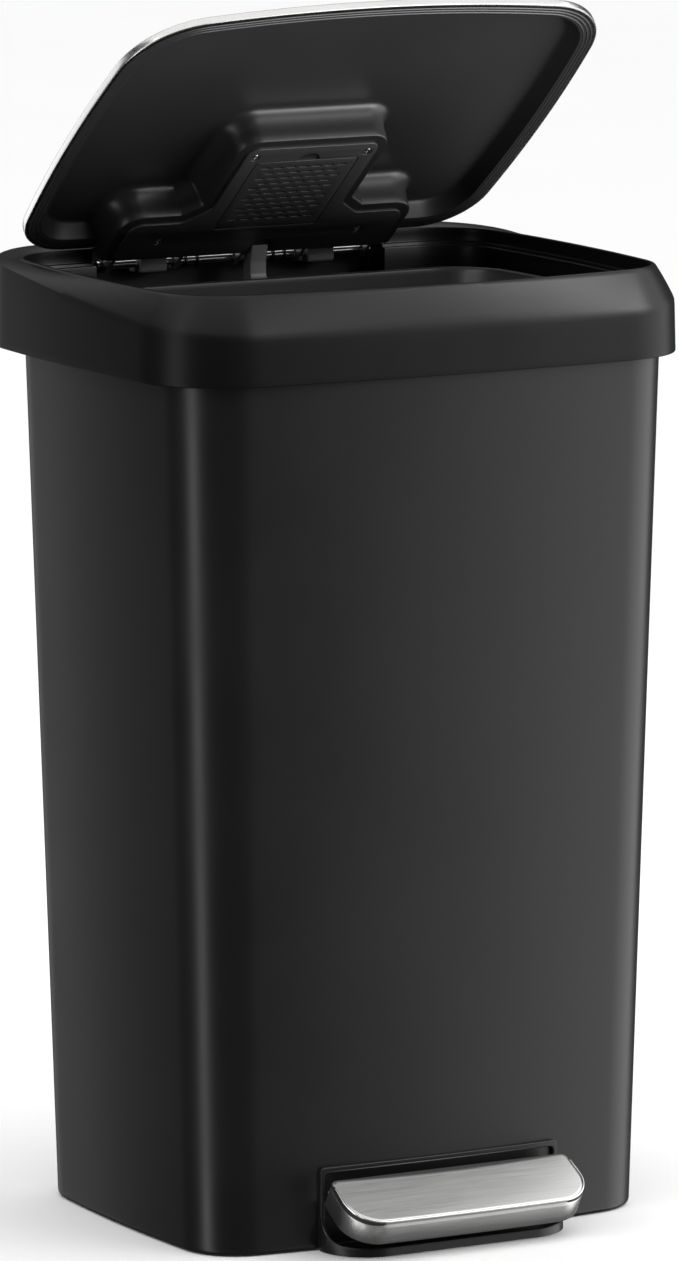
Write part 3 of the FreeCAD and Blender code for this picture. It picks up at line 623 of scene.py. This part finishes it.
# ---------------- collar
collar_plan = Plan(collar_high[0], collar_low[1], collar_high[1], 62.0, 11.0, 8.0, 8.0)
opening_plan = Plan(186.0, -138.0, 152.0, 44.5, 18.0, 9.7, 3.2)
CREASE_SLOPE = 0.093                # rise of the crease per mm towards the rear
CREASE_DROP = 27.5                  # depth of the crease below the top, at the front
CHAMFER_CROWN = 0.9                 # how far the chamfer bulges between crease and rim
LIP_DEPTH = 9.7                     # height of the inner lip
LEDGE = 6.0                         # width of the step under the lip
BAY_HALF, BAY_FRONT, BAY_REAR = 112, 130, 168    # the bay that the hinge lies in
BAY_FLOOR = 20.5                    # above the skirt's lower edge
LINK_SLOT_FRONT, LINK_SLOT_REAR = 128, 150       # room for the lift link


def crease_ring(inset, share, lift=0.0):
    """A ring on the skirt; share is 0 at its lower edge and 1 on the crease."""
    ring = collar_plan.ring(inset)
    crease = collar_high[2] - CREASE_DROP + CREASE_SLOPE * (ring[:, 1] - collar_low[1])
    ring[:, 2] = collar_low[2] + (crease - collar_low[2]) * share + lift
    return ring


def make_collar():
    skirt = collar_low[2]
    top = collar_high[2]
    rings = [opening_plan.ring(LEDGE, skirt + 6), collar_plan.ring(WALL + 6, skirt + 4),
             collar_plan.ring(WALL, skirt + 1.0), collar_plan.ring(WALL - 0.3, skirt)]
    rings += [collar_plan.ring(i, skirt + z) for i, z in ((1.0, 0.0), (0.45, 0.15), (0.12, 0.5), (0.0, 1.1))]
    rings += [crease_ring(0.9 * s, s) for s in (0.12, 0.3, 0.5, 0.7, 0.9)]
    low_ring = crease_ring(0.9, 1.0)
    high_ring = opening_plan.ring(-3.4, top - 1.0)
    rings += [crease_ring(1.1, 1.0, -0.1)]
    for share in (0.11, 0.25, 0.42, 0.6, 0.78, 0.92):
        ring = low_ring + (high_ring - low_ring) * share
        ring[:, 2] += CHAMFER_CROWN * math.sin(math.pi * share)
        rings.append(ring)
    rings.append(high_ring)
    rings += [opening_plan.ring(inset, top - drop) for inset, drop in (
        (-2.7, 0.35), (-2.0, 0.05), (-1.4, 0.0), (-0.9, 0.08), (-0.4, 0.3), (-0.1, 0.7), (0.0, 1.3))]
    step = top - LIP_DEPTH
    rings += [opening_plan.ring(0.0, z) for z in (top - 4, step + 0.8)]
    rings += [opening_plan.ring(i, step + z) for i, z in (
        (0.15, 0.25), (0.7, 0.0), (2.4, 0.0), (2.9, -0.15), (3.1, -0.6), (3.1, -1.6), (3.3, -2.0),
        (3.8, -2.1), (5.3, -2.1), (5.8, -2.3), (LEDGE, -3.0), (LEDGE, -12.0), (LEDGE, -30.0))]
    rings.append(opening_plan.ring(LEDGE, skirt + 6))
    collar = loft("collar", rings, False, False)
    clean(collar.data, merge=MERGE, turn_outwards=False)
    bay = rounded_points(box_corners(-BAY_HALF, BAY_HALF, BAY_FRONT, BAY_REAR, 3.0), per_corner=6)
    cut(collar, loft("bay", [at_height(bay, skirt + BAY_FLOOR), at_height(bay, top + 5)]))
    link_low, link_high = limits("lift_link")
    corners = box_corners(link_low[0] - 2, link_high[0] + 2, LINK_SLOT_FRONT, LINK_SLOT_REAR, 1.0)
    slot = rounded_points(corners, per_corner=3)
    through = [at_height(slot, skirt + 2.0), at_height(slot, skirt + BAY_FLOOR + 1.5)]
    cut(collar, loft("link_slot", through))
    put(collar, "body", "collar_plastic", COLLAR, "collar")


# ---------------- bucket
bucket_plan = Plan(bucket_high[0], bucket_low[1], bucket_high[1], 46.0, 12.0, 7.0, 1.5)
bucket_foot = Plan(150.0, -108.0, 102.0, 38.0, 8.0, 5.0, 1.5)
BUCKET_LIP = 4.0                    # how far the rim stands out from the wall


def bucket_ring(share, inset, z):
    """A ring of the tapered wall; share is 0 at the foot and 1 at the rim."""
    mixed = Plan(*(bucket_foot.values + (bucket_plan.values - bucket_foot.values) * share))
    return mixed.ring(inset, z)


def make_bucket():
    top, foot = bucket_high[2], bucket_low[2]
    rings = [bucket_foot.ring(6.0, foot), bucket_foot.ring(2.0, foot + 0.5), bucket_foot.ring(0.0, foot + 4)]
    rings += [bucket_ring(share, BUCKET_LIP * share, foot + 4 + (top - 9 - foot) * share)
              for share in (0.25, 0.5, 0.75, 0.985)]
    rings += [bucket_plan.ring(i, top + z) for i, z in (
        (BUCKET_LIP, -5.0), (0.5, -5.0), (0.0, -4.6), (0.0, -1.2), (0.25, -0.5), (0.8, -0.1),
        (1.6, 0.0), (4.2, 0.0), (5.2, -0.15), (5.9, -0.7), (6.2, -1.6), (6.2, -4.0))]
    rings += [bucket_ring(share, 2.2 + BUCKET_LIP * share, foot + 2.5 + (top - foot) * share)
              for share in (0.9, 0.75, 0.5, 0.25, 0.05)]
    rings += [bucket_foot.ring(inset, foot + z) for inset, z in ((3.5, 6), (7.0, 3.4), (12.0, 2.5))]
    put(loft("bucket", rings), "body", "bucket_plastic", BUCKET, "inner_bucket")


# ---------------- lid
lid_plan = Plan(skin_high[0], skin_low[1], skin_high[1], 43.0, 18.0, 9.5, 1.0, 14.0)
LID_RIM = skin_low[2]               # underside of the flange with the lid closed
LID_EDGE = 639.5                    # where the sheet's edge turns into the dome
SKIN_EDGE = 0.95                    # rise of that turn
DOME_POWER = 5                      # how flat the dome is in its middle
RECESS = 11.3                       # depth of the lining under the flange
RECESS_INSET = 26.0                 # where the lining's flat floor starts
lid_middle = np.array([0.0, (skin_low[1] + skin_high[1]) / 2, 0.0])


def shrunk(ring, share, z):
    """A ring drawn towards the lid's middle, at height z."""
    out = lid_middle + (ring - lid_middle) * share
    out[:, 2] = z
    return out


def make_lid_skin():
    edge, top = LID_EDGE, skin_high[2]
    rings = [lid_plan.ring(inset, z) for inset, z in (
        (3.2, LID_RIM + 1.2), (3.2, LID_RIM + 0.3), (2.7, LID_RIM), (0.9, LID_RIM), (0.35, LID_RIM + 0.2),
        (0.05, LID_RIM + 0.7), (0.0, LID_RIM + 1.4), (0.0, edge - 1.6), (0.12, edge - 0.8), (0.5, edge - 0.1),
        (1.2, edge + 0.45), (2.4, edge + SKIN_EDGE))]
    rim = lid_plan.ring(2.4)
    start = edge + SKIN_EDGE
    for share in (0.985, 0.97, 0.94, 0.9, 0.84, 0.76, 0.66, 0.54, 0.4, 0.25, 0.1, 0.02):
        reach = min(1.45 * (1 - share), 1.0)
        rings.append(shrunk(rim, share, start + (top - start) * (1 - (1 - reach) ** DOME_POWER)))
    skin = on_open_lid(loft("lid_skin", rings, False, True))
    put(skin, "lid", "lid_steel", LID_STEEL, "lid_skin")


# The T-shaped housing: (x, y, corner radius), right-hand side, front to rear.
HOUSING = both_sides([(50.0, 10.0, 8.5), (50.0, 82.0, 12.0), (67.0, 96.5, 10.0), (105.0, 96.5, 9.0),
                      (105.0, cover_high[1], 3.0)])


def make_lid_tray():
    floor = LID_RIM + RECESS
    profile = [(1.0, 2.5), (1.0, 0.5), (1.3, 0.1), (1.8, 0.0)]
    for middle in (4.2, 6.9, 9.6):      # three fine ribs round the flange
        profile += [(middle - 0.75, 0.0), (middle - 0.4, -0.3), (middle, -0.42), (middle + 0.4, -0.3),
                    (middle + 0.75, 0.0)]
    profile += [(11.2, 0.0), (11.7, 0.08), (12.1, 0.4), (12.45, 1.0), (14.2, 3.9), (16.3, 7.3), (17.9, 9.7),
                (18.6, 10.5), (19.5, 11.0), (20.7, 11.25), (22.5, RECESS), (RECESS_INSET, RECESS)]
    rings = [lid_plan.ring(inset, LID_RIM + lift) for inset, lift in profile]
    inner = lid_plan.ring(RECESS_INSET)
    rings += [shrunk(inner, share, floor) for share in (0.9, 0.75, 0.6, 0.45, 0.3, 0.15, 0.03)]
    tray = loft("lid_tray", rings, False, True)
    tray = joined("lid_tray", [tray, make_pad(floor)])
    put(on_open_lid(tray), "lid", "tray_plastic", TRAY, "lid_tray")


PAD_SETBACK = 1.6                   # how far the housing's face lies behind the cover's
FLANK_SPREAD = 8.5                  # width of the fillet between the housing and the floor
FLANK_FOOT = 16.6                   # where that fillet ends, outwards from the housing


def make_pad(floor):
    """The raised housing that the hinge cover is screwed to, closed behind the cover."""
    face = cover_low[2] + PAD_SETBACK
    profile = [(-4.0, face), (6.0, face), (6.7, face + 0.12), (7.2, face + 0.5), (7.5, face + 1.1)]
    rise = floor - face - 6.0
    profile += [(FLANK_FOOT - FLANK_SPREAD * math.cos(a), floor - rise * (1 - math.sin(a)))
                for a in np.radians(np.linspace(0, 88, 12))]
    profile += [(FLANK_FOOT + 1.0, floor + 0.02)]
    rings = [at_height(rounded_points(offset_corners(HOUSING, grow), 14, 4), z) for grow, z in profile]
    limit = skin_high[1] - 1.2
    for ring in rings:
        ring[:, 1] = np.minimum(ring[:, 1], limit)
    return loft("pad", rings, True, False)


# ---------------- hinge cover and filter door
COVER_SCREWS = [(43.0, 20.0), (-43.0, 20.0), (77.0, 118.0), (-77.0, 118.0)]
COVER_T = 2.5
DOOR_GAP = 0.4                      # gap round the filter door
NOTCH_R = 8.0                       # thumb notch beside the door
LINK_HOLE_FRONT = 124.0             # front edge of the cover's hole for the lift link


def circle(x, y, radius, count=32):
    return arc((x, y), radius, 0, 2 * math.pi, count)


def make_cover():
    """T-shaped plate with a hole for the door and its notch, one for the link and four for screws."""
    face, back = cover_low[2], cover_low[2] + COVER_T
    front = door_low[1]
    around_door = box_corners(door_low[0] - DOOR_GAP, door_high[0] + DOOR_GAP,
                              front - DOOR_GAP, door_high[1] + 2 * DOOR_GAP, 2.0)
    door_hole = [tuple(p) for p in rounded_points(around_door, 6)]
    notch = arc((0, front), NOTCH_R, math.pi, 2 * math.pi, 16, last=True)
    inner = [p for p in door_hole if not (abs(p[0]) < NOTCH_R + 1 and p[1] < front + 1)]
    start = next(i for i, p in enumerate(inner) if p[0] > 0 and p[1] < front + 3)
    inner = inner[start:] + inner[:start]
    inner = [(NOTCH_R, front - DOOR_GAP)] + inner + [(-NOTCH_R, front - DOOR_GAP)]
    hole = inner + [(x, y - DOOR_GAP) for x, y in notch]
    link_slot = rounded_points(box_corners(0, 16, LINK_HOLE_FRONT, cover_high[1] - 2.0, 1.5), 4)
    holes = [hole, link_slot] + [circle(x, y, 3.3) for x, y in COVER_SCREWS]
    outline = rounded_points(HOUSING, 14)
    cover = plate("hinge_cover", outline, holes, face, back, 0.45)
    put(on_open_lid(cover), "lid", "cover_plastic", COVER, "hinge_cover")


def make_screw(x, y, z):
    """A rounded head with a cross recess."""
    profile = [(1.3, 3.0), (0.5, 3.0), (0.25, 2.8), (0.05, 2.2), (-0.12, 1.2), (-0.15, 0.1)]
    head = lathe("screw", (x, y, z), profile, "z", 32)
    arm, half_arm = 1.9, 0.42           # half length and half width of the cross
    for wide, deep in ((arm, half_arm), (half_arm, arm)):
        corners = box_corners(x - wide, x + wide, y - deep, y + deep, 0.15)
        flat = rounded_points(corners, 3)
        cut(head, loft("cross", [at_height(flat, z - 1), at_height(flat, z + 0.75)]))
    return head


def make_cover_screws():
    heads = [make_screw(x, y, cover_low[2] + 0.1) for x, y in COVER_SCREWS]
    put(on_open_lid(joined("cover_screws", heads)), "lid", "screw_steel", SCREW_STEEL, "cover_screws")


SLOT_ROWS, SLOTS_IN_ROW = 11, 7     # every other row has one slot fewer
SLOT_PITCH = (9.7, 6.2)
SLOT_HALF = (3.1, 0.95)
FIRST_ROW = 7.0                     # from the door's front edge


def make_filter_door():
    slots = []
    for row in range(SLOT_ROWS):
        count = SLOTS_IN_ROW - row % 2
        y = door_low[1] + FIRST_ROW + row * SLOT_PITCH[1]
        for column in range(count):
            x = (column - (count - 1) / 2) * SLOT_PITCH[0]
            corners = box_corners(x - SLOT_HALF[0], x + SLOT_HALF[0],
                                  y - SLOT_HALF[1], y + SLOT_HALF[1], 0.35)
            slots.append(rounded_points(corners, 3))
    outline = rounded_points(box_corners(door_low[0], door_high[0], door_low[1], door_high[1], 3.0), 8)
    door = plate("filter_door", outline, slots, door_low[2], door_high[2], 0.3, 2)
    put(on_open_lid(door), "filter_door", "cover_plastic", COVER, "filter_door")


# ---------------- hinge line
CLIP_XS = (-104.0, -39.0, -30.0, 29.0, 38.0, 103.0)  # left faces of the clips
CLIP_T, CLIP_R = 1.2, 4.6
EAR_XS = (-101.0, -49.0, -1.8, 15.0, 46.0, 98.0)     # left faces of the lid bracket's ears
WASHER_T, WASHER_R = 1.0, 5.0
WASHER_OFFSETS = (-1.1, 3.1)        # the washers on each side of an ear, from its left face
BLOCK_XS = (-65.0, 65.0)            # middles of the blocks that hold the rod
BLOCK_HALF = 10
ROD_R = 3.0


def make_hinge_line():
    low, high = limits("hinge_rod")
    centre = (0, HINGE[0], HINGE[1])
    rod = bar("hinge_rod", centre, low[0], high[0], (high[2] - low[2]) / 2)
    put(rod, "body", "rod_steel", ROD_STEEL, "hinge_rod")
    starts = [x + offset for x in EAR_XS for offset in WASHER_OFFSETS]
    rings = [ring_piece("washer", centre, start, start + WASHER_T, ROD_R, WASHER_R) for start in starts]
    put(joined("rod_washers", rings), "body", "rod_steel", ROD_STEEL, "rod_washers")
    clips = [ring_piece("clip", centre, x, x + CLIP_T, ROD_R, CLIP_R) for x in CLIP_XS]
    put(joined("rod_clips", clips), "body", "clip_steel", CLIP_STEEL, "rod_clips")
    low, high = limits("hinge_blocks")
    outline = rounded_points([(low[1], low[2], 3), (high[1], low[2], 1.2),
                              (high[1], high[2], 1.2), (low[1], high[2], 3)], 6)
    hole = circle(*HINGE, ROD_R)
    blocks = [side_to_x(plate("block", outline, [hole], x - BLOCK_HALF, x + BLOCK_HALF, 0.5))
              for x in BLOCK_XS]
    put(joined("hinge_blocks", blocks), "body", "link_plastic", LINK, "hinge_blocks")


NECK_LOW, NECK_HIGH = 614, 628      # heights between which the link's neck is straight


def make_lift_link():
    """A strap that stands on the push rod, leans back and ends in a slotted eye on the lift pin."""
    low, high = limits("lift_link")
    push_y = np.mean(limits("push_rod"), 0)[1]
    pin_y, pin_z = np.mean(limits("lift_pin"), 0)[1:]
    outline = rounded_points([
        (push_y - 4, low[2], 1.5), (push_y + 4, low[2], 1.5), (push_y + 4.5, 601, 4),
        (pin_y + 5, NECK_LOW, 6), (pin_y + 5, NECK_HIGH, 6), (pin_y + 6.6, pin_z - 1.4, 2.6),
        (pin_y + 4.3, pin_z + 4.2, 3), (pin_y - 7.4, pin_z + 4.4, 3.5), (pin_y - 7.4, pin_z - 2, 4),
        (pin_y - 5, NECK_HIGH, 6), (pin_y - 5, NECK_LOW + 4, 6), (push_y - 4, 604, 6)], 8)
    slot = rounded_points(box_corners(pin_y - 5.3, pin_y + 5.3, pin_z - 2.45, pin_z + 2.45, 2), 8)
    link = side_to_x(plate("lift_link", outline, [slot], low[0], high[0], 0.6))
    put(link, "push_rod", "link_plastic", LINK, "lift_link")


# ---------------- pedal
PEDAL_CORNERS = (24, 6.0)           # front and back corner radius
PEDAL_NARROWING = 1.9               # on each side, from front to back
FRONT_BOW, BACK_HOLLOW = 0.9, 3.4
BEAD_R = 0.85
BEAD_SINK = 2.0                     # the bead dips into the tread near the back edge


def pedal_outline(inset):
    """The tread's outline: bowed in front and hollow at the back."""
    front, back = pedal_low[1] + inset, pedal_high[1] - inset
    half_front = pedal_high[0] - inset
    half_back = half_front - PEDAL_NARROWING
    front_corner, back_corner = PEDAL_CORNERS[0] - inset, max(PEDAL_CORNERS[1] - inset, 0.5)
    corners = both_sides([(half_front, front, front_corner), (half_back, back, back_corner)])
    flat = rounded_points(corners, 16, 24)
    middle = 1 - np.clip(np.abs(flat[:, 0]) / half_front, 0, 1) ** 2
    share = np.clip((back - flat[:, 1]) / (back - front), 0, 1)
    flat[:, 1] += FRONT_BOW * (1 - middle) * share ** 2 - BACK_HOLLOW * middle * (1 - share) ** 3
    return flat


def make_pedal():
    """Pressed steel tread: a deep skirt, a hollow band under the edge and a polished rolled bead."""
    top, low = pedal_high[2], pedal_low[2]
    profile = [(1.3, low + 0.2), (0.9, low), (0.35, low + 0.1), (0.0, low + 0.7), (0.0, top - 5.4),
               (0.1, top - 4.9), (0.35, top - 4.3), (0.65, top - 3.6), (0.75, top - 2.8), (0.7, top - 2.0),
               (0.8, top - 1.2), (1.7, top - 0.8), (2.1, top - 0.75), (2.4, top - 0.55), (2.8, top - 0.43),
               (3.6, top - 0.4), (14.0, top - 0.4)]
    rings = [at_height(pedal_outline(inset), z) for inset, z in profile]
    pedal = loft("pedal_plate", rings, False, True)
    put(on_pedal(pedal), "pedal", "pedal_steel", PEDAL_STEEL, "pedal_plate")
    rings = [at_height(pedal_outline(BEAD_R * (1 - math.cos(a))), top + BEAD_R * (math.sin(a) - 1))
             for a in np.linspace(0, 2 * math.pi, 17)]
    for ring in rings:
        ring[:, 2] -= BEAD_SINK * np.clip((ring[:, 1] - pedal_high[1] + 9.0) / 5.0, 0, 1)
    bead = loft("pedal_bead", rings, False, False)
    put(on_pedal(bead), "pedal", "pedal_steel", BEAD_STEEL)


BEZEL_FRONT, BEZEL_REAR = -132.0, -118.0
BEZEL_BORDER = 3.0                  # width of the frame at its sides
BEZEL_BOW = 2.6                     # how far the frame's middle stands forward
SCOOP_CORNER = 34.0
SCOOP_WALL = 2.4
SCOOP_HIGH, SCOOP_RISE = 29.8, 23.4  # top of the scoop's wall at the frame, and its rise from the lip
SCOOP_POWER = 2.3                   # roundness of that rise


def make_bezel():
    """Frame round the pedal's opening, with a floor and a low curved wall in front."""
    width, top, low = bezel_high[0], bezel_high[2], bezel_low[2]
    front, rear = BEZEL_FRONT, BEZEL_REAR
    lip_front = bezel_low[1]
    outline = rounded_points(box_corners(-width, width, low, top, 3.0), 12, 14)
    half_hole = width - BEZEL_BORDER
    inner = rounded_points(box_corners(-half_hole, half_hole, 4.4, top - 3.9, 3.0), 8, 14)
    frame_piece = front_to_y(plate("bezel_frame", outline, [inner], front, rear, 0.8))

    def bowed(p):
        p[:, 1] -= BEZEL_BOW * (1 - (p[:, 0] / width) ** 2) * np.clip((p[:, 2] - 10) / 30, 0, 1)
        return p

    moved(frame_piece, bowed)
    floor_plan = both_sides([(width - 1.0, lip_front + 0.8, SCOOP_CORNER - 1), (width - 1.0, rear, 1.0)])
    floor = plate("bezel_floor", rounded_points(floor_plan, 24), [], low, 2.6, 0.5)
    wall = make_scoop_wall(width, lip_front, front, low)
    put(joined("pedal_bezel", [frame_piece, floor, wall]), "body", "bezel_plastic", BEZEL, "pedal_bezel")


def make_scoop_wall(width, lip_front, rear, low):
    """The low wall round the scoop, rising in a curve to the frame's sides."""
    corner = SCOOP_CORNER
    corner_y = lip_front + corner

    def line(inset):
        """The wall's line in plan, from the right-hand end round to the left."""
        angles = np.linspace(0, 1, 48) ** 2 * math.pi / 2
        half = [(width - inset, rear + 2.0)]
        half += [(width - corner + (corner - inset) * math.cos(t), corner_y - (corner - inset) * math.sin(t))
                 for t in angles]
        half = np.array(half + [(x, lip_front + inset) for x in np.linspace(width - corner, 0, 10)[1:]])
        return np.concatenate([half, half[-2::-1] * [-1, 1]])

    outer, inner = line(0.0), line(SCOOP_WALL)
    share = np.clip((outer[:, 1] - (lip_front + 5.5)) / 29.0, 0, 1)
    height = SCOOP_HIGH - SCOOP_RISE * (1 - share ** SCOOP_POWER) ** (1 / SCOOP_POWER)
    rows = []
    to_floor = 99                       # more than the wall's height, so the row ends on the floor
    section = ((0.0, to_floor), (0.0, 1.0), (0.12, 0.4), (0.35, 0.05),
               (0.65, 0.05), (0.88, 0.4), (1.0, 1.0), (1.0, to_floor))
    for inset_share, drop in section:
        flat = outer + (inner - outer) * inset_share
        z = np.maximum(height - drop, low)
        rows.append(np.column_stack([flat, z]))
    count = len(outer)
    faces = []
    for k in range(len(rows)):
        a, b = k * count, ((k + 1) % len(rows)) * count
        for i in range(count - 1):
            faces.append((a + i, a + i + 1, b + i + 1, b + i))
    faces.append(tuple(k * count for k in range(len(rows))))
    faces.append(tuple(k * count + count - 1 for k in range(len(rows)))[::-1])
    return new_object("scoop_wall", np.concatenate(rows), faces)


# ---------------- feet
FOOT_R = 12


def make_feet():
    """Four feet in the corners and one in the middle, each dished underneath."""
    low, high = limits("rubber_feet")
    places = [(x, y) for x in (low[0] + FOOT_R, high[0] - FOOT_R)
              for y in (low[1] + FOOT_R, high[1] - FOOT_R)] + [(0.0, 0.0)]
    profile = [(3.0, FOOT_R), (1.4, FOOT_R), (0.6, 11.6), (0.0, 10.4), (0.0, 7.0), (0.6, 6.4), (0.6, 1.0)]
    feet = [lathe("foot", (x, y, 0), profile, "z", 40) for x, y in places]
    put(joined("rubber_feet", feet), "body", "foot_rubber", RUBBER, "rubber_feet")


make_body()
make_collar()
make_bucket()
make_lid_skin()
make_lid_tray()
make_cover()
make_cover_screws()
make_filter_door()
make_hinge_line()
make_lift_link()
make_pedal()
make_bezel()
make_feet()

SHOWN_AS_CAD = {
    "base_plate": BASE, "base_screws": SCREW_STEEL, "block_screws": SCREW_STEEL, "rod_guides": LINK,
    "damper_cylinder": DAMPER, "pedal_pin": ROD_STEEL, "lever_bracket": BRACKET_STEEL, "lever_pin": ROD_STEEL,
    "bracket_screws": SCREW_STEEL, "filter_cartridge": FELT, "hinge_bracket": BRACKET_STEEL,
    "lift_pin": ROD_STEEL, "pedal_core": BASE, "pedal_lever": BRACKET_STEEL, "lever_roller": LINK,
    "roller_pin": ROD_STEEL, "push_rod": ROD_STEEL, "damper_piston": ROD_STEEL}
for name, finish in SHOWN_AS_CAD.items():
    dress(name, finish)


# ---------------- studio
# Metres and degrees from here on. Azimuth is from the front towards the right. A light below the
# floor works because the floor casts no shadow and isn't seen in reflections.
def soft_light(name, azimuth, distance, height, size, radiance, aim_height=0.35):
    """A softbox aimed at a height on the object's axis."""
    light = bpy.data.lights.new(name, "AREA")
    light.shape = "RECTANGLE"
    light.size, light.size_y = size
    light.energy = radiance * math.pi * size[0] * size[1]
    obj = bpy.data.objects.new(name, light)
    a = math.radians(azimuth)
    obj.location = (distance * math.sin(a), -distance * math.cos(a), height)
    direction = Vector((0, 0, aim_height)) - obj.location
    obj.rotation_euler = direction.to_track_quat("-Z", "Y").to_euler()
    bpy.context.scene.collection.objects.link(obj)
    return obj


def lit_only(light, pieces, shadows=True):
    """Keeps a light on the named pieces; without shadows, only the floor may block it."""
    group = bpy.data.collections.new(light.name + "_receivers")
    for piece in pieces:
        group.objects.link(pieces_by_name[piece])
    light.light_linking.receiver_collection = group
    if not shadows:
        clear = bpy.data.collections.new(light.name + "_blockers")
        clear.objects.link(bpy.data.objects["floor"])
        light.light_linking.blocker_collection = clear


def make_world():
    """White behind the object, dim grey in what it reflects."""
    world = bpy.data.worlds.new("studio")
    world.use_nodes = True
    tree = world.node_tree
    seen = tree.nodes["Background"]
    seen.inputs["Color"].default_value = (1, 1, 1, 1)
    seen.inputs["Strength"].default_value = 1.0
    dim = node(tree, "ShaderNodeBackground", Color=(1, 1, 1, 1), Strength=0.05)
    mix = tree.nodes.new("ShaderNodeMixShader")
    path = tree.nodes.new("ShaderNodeLightPath")
    tree.links.new(path.outputs["Is Camera Ray"], mix.inputs["Fac"])
    tree.links.new(dim.outputs[0], mix.inputs[1])
    tree.links.new(seen.outputs[0], mix.inputs[2])
    tree.links.new(mix.outputs[0], tree.nodes["World Output"].inputs["Surface"])
    bpy.context.scene.world = world


def make_floor():
    material, tree, shader, place = start_material("studio_floor", (0.95, 0.95, 0.95), Specular_IOR_Level=0.1)
    tree.links.new(remapped(tree, noise(tree, place, 3.0), 0.7, 0.8), shader.inputs["Roughness"])
    bpy.ops.mesh.primitive_plane_add(size=30, location=(0, 0, 0))
    floor = bpy.context.object
    floor.name = "floor"
    floor.visible_glossy = False
    floor.visible_shadow = False
    floor.data.materials.append(material)


def make_sky():
    """Even light from above, which keeps the floor white and softens every shadow."""
    light = bpy.data.lights.new("sky", "SUN")
    light.energy = 3.1
    light.angle = math.radians(110)
    obj = bpy.data.objects.new("sky", light)
    obj.location = (0, 0, 5)
    bpy.context.scene.collection.objects.link(obj)


# name, azimuth, distance, height, (width, height), radiance
OPEN_LIGHTS = [
    ("right", 76, 3.0, 0.3, (2.5, 6.0), 1.9),
    ("right_inner", 45, 3.0, 0.3, (0.84, 6.0), 1.5),
    ("front_right", 29, 3.0, 0.3, (0.84, 6.0), 0.55),
    ("left_strip", -82, 3.0, 0.3, (0.62, 6.0), 2.9),
    ("back_left", -168, 3.0, 0.6, (1.6, 4.0), 0.45),
    ("front_high", 30, 3.0, 2.2, (1.8, 1.0), 3.0)]

# The same, then the height aimed at and the pieces that are lit. Each brings single parts to the
# brightness wanted and leaves their neighbours alone, which a real studio's lights couldn't do.
COVER_PIECES = ["hinge_cover", "filter_door", "cover_screws"]
PEDAL_PIECES = ["pedal_plate", "pedal_bead"]
LINKED_LIGHTS = [
    ("collar_top", 47, 2.9, 1.75, (1.3, 0.8), 17.0, 0.6, ["collar"]),
    ("lid_edge", -151, 3.0, 0.27, (2.4, 2.5), 1.5, 0.75, ["lid_skin"]),
    ("lid_fill", 36, 2.0, -0.1, (1.8, 1.4), 8.0, 0.75, ["lid_tray"] + COVER_PIECES),
    ("cover_fill", 36, 2.0, -0.1, (1.8, 1.4), 14.0, 0.75, COVER_PIECES),
    ("bucket_glint", -62, 3.0, 0.2, (0.6, 2.0), 10.0, 0.6, ["bucket"]),
    ("pedal_under", 45, 1.6, -1.5, (3.0, 2.6), 0.09, 0.04, PEDAL_PIECES),
    ("pedal_under_left", -30, 1.6, -1.2, (2.4, 2.6), 0.2, 0.04, PEDAL_PIECES),
    ("pedal_right", 62, 1.6, -1.1, (0.8, 1.6), 0.3, 0.04, PEDAL_PIECES),
    ("pedal_left", -58, 1.6, -0.7, (0.4, 1.6), 1.6, 0.04, PEDAL_PIECES)]
SHADOWLESS = ["bucket_glint"]


def make_studio():
    bpy.context.scene.view_settings.view_transform = "Standard"
    make_world()
    make_floor()
    make_sky()
    for light in OPEN_LIGHTS:
        soft_light(*light)
    for *light, pieces in LINKED_LIGHTS:
        lit_only(soft_light(*light), pieces, shadows=light[0] not in SHADOWLESS)


CAMERA_AZIMUTH, CAMERA_ELEVATION = -28.92, 9.23
CAMERA_DISTANCE = 5.98864
CAMERA_AIM = (-0.00315, 0.00098, 0.39239)
CAMERA_LENS = 253.4                 # mm on a 36 mm wide frame


def make_camera():
    """The photo's viewing angle: low, from the front left, through a long lens."""
    azimuth, elevation = math.radians(CAMERA_AZIMUTH), math.radians(CAMERA_ELEVATION)
    aim = Vector(CAMERA_AIM)
    away = Vector((math.sin(azimuth) * math.cos(elevation), -math.cos(azimuth) * math.cos(elevation),
                   math.sin(elevation)))
    data = bpy.data.cameras.new("camera")
    data.lens = CAMERA_LENS
    data.sensor_width = 36
    data.clip_end = 100
    camera = bpy.data.objects.new("camera", data)
    camera.location = aim + away * CAMERA_DISTANCE
    camera.rotation_euler = (-away).to_track_quat("-Z", "Y").to_euler()
    bpy.context.scene.collection.objects.link(camera)
    bpy.context.scene.camera = camera


make_studio()
make_camera()
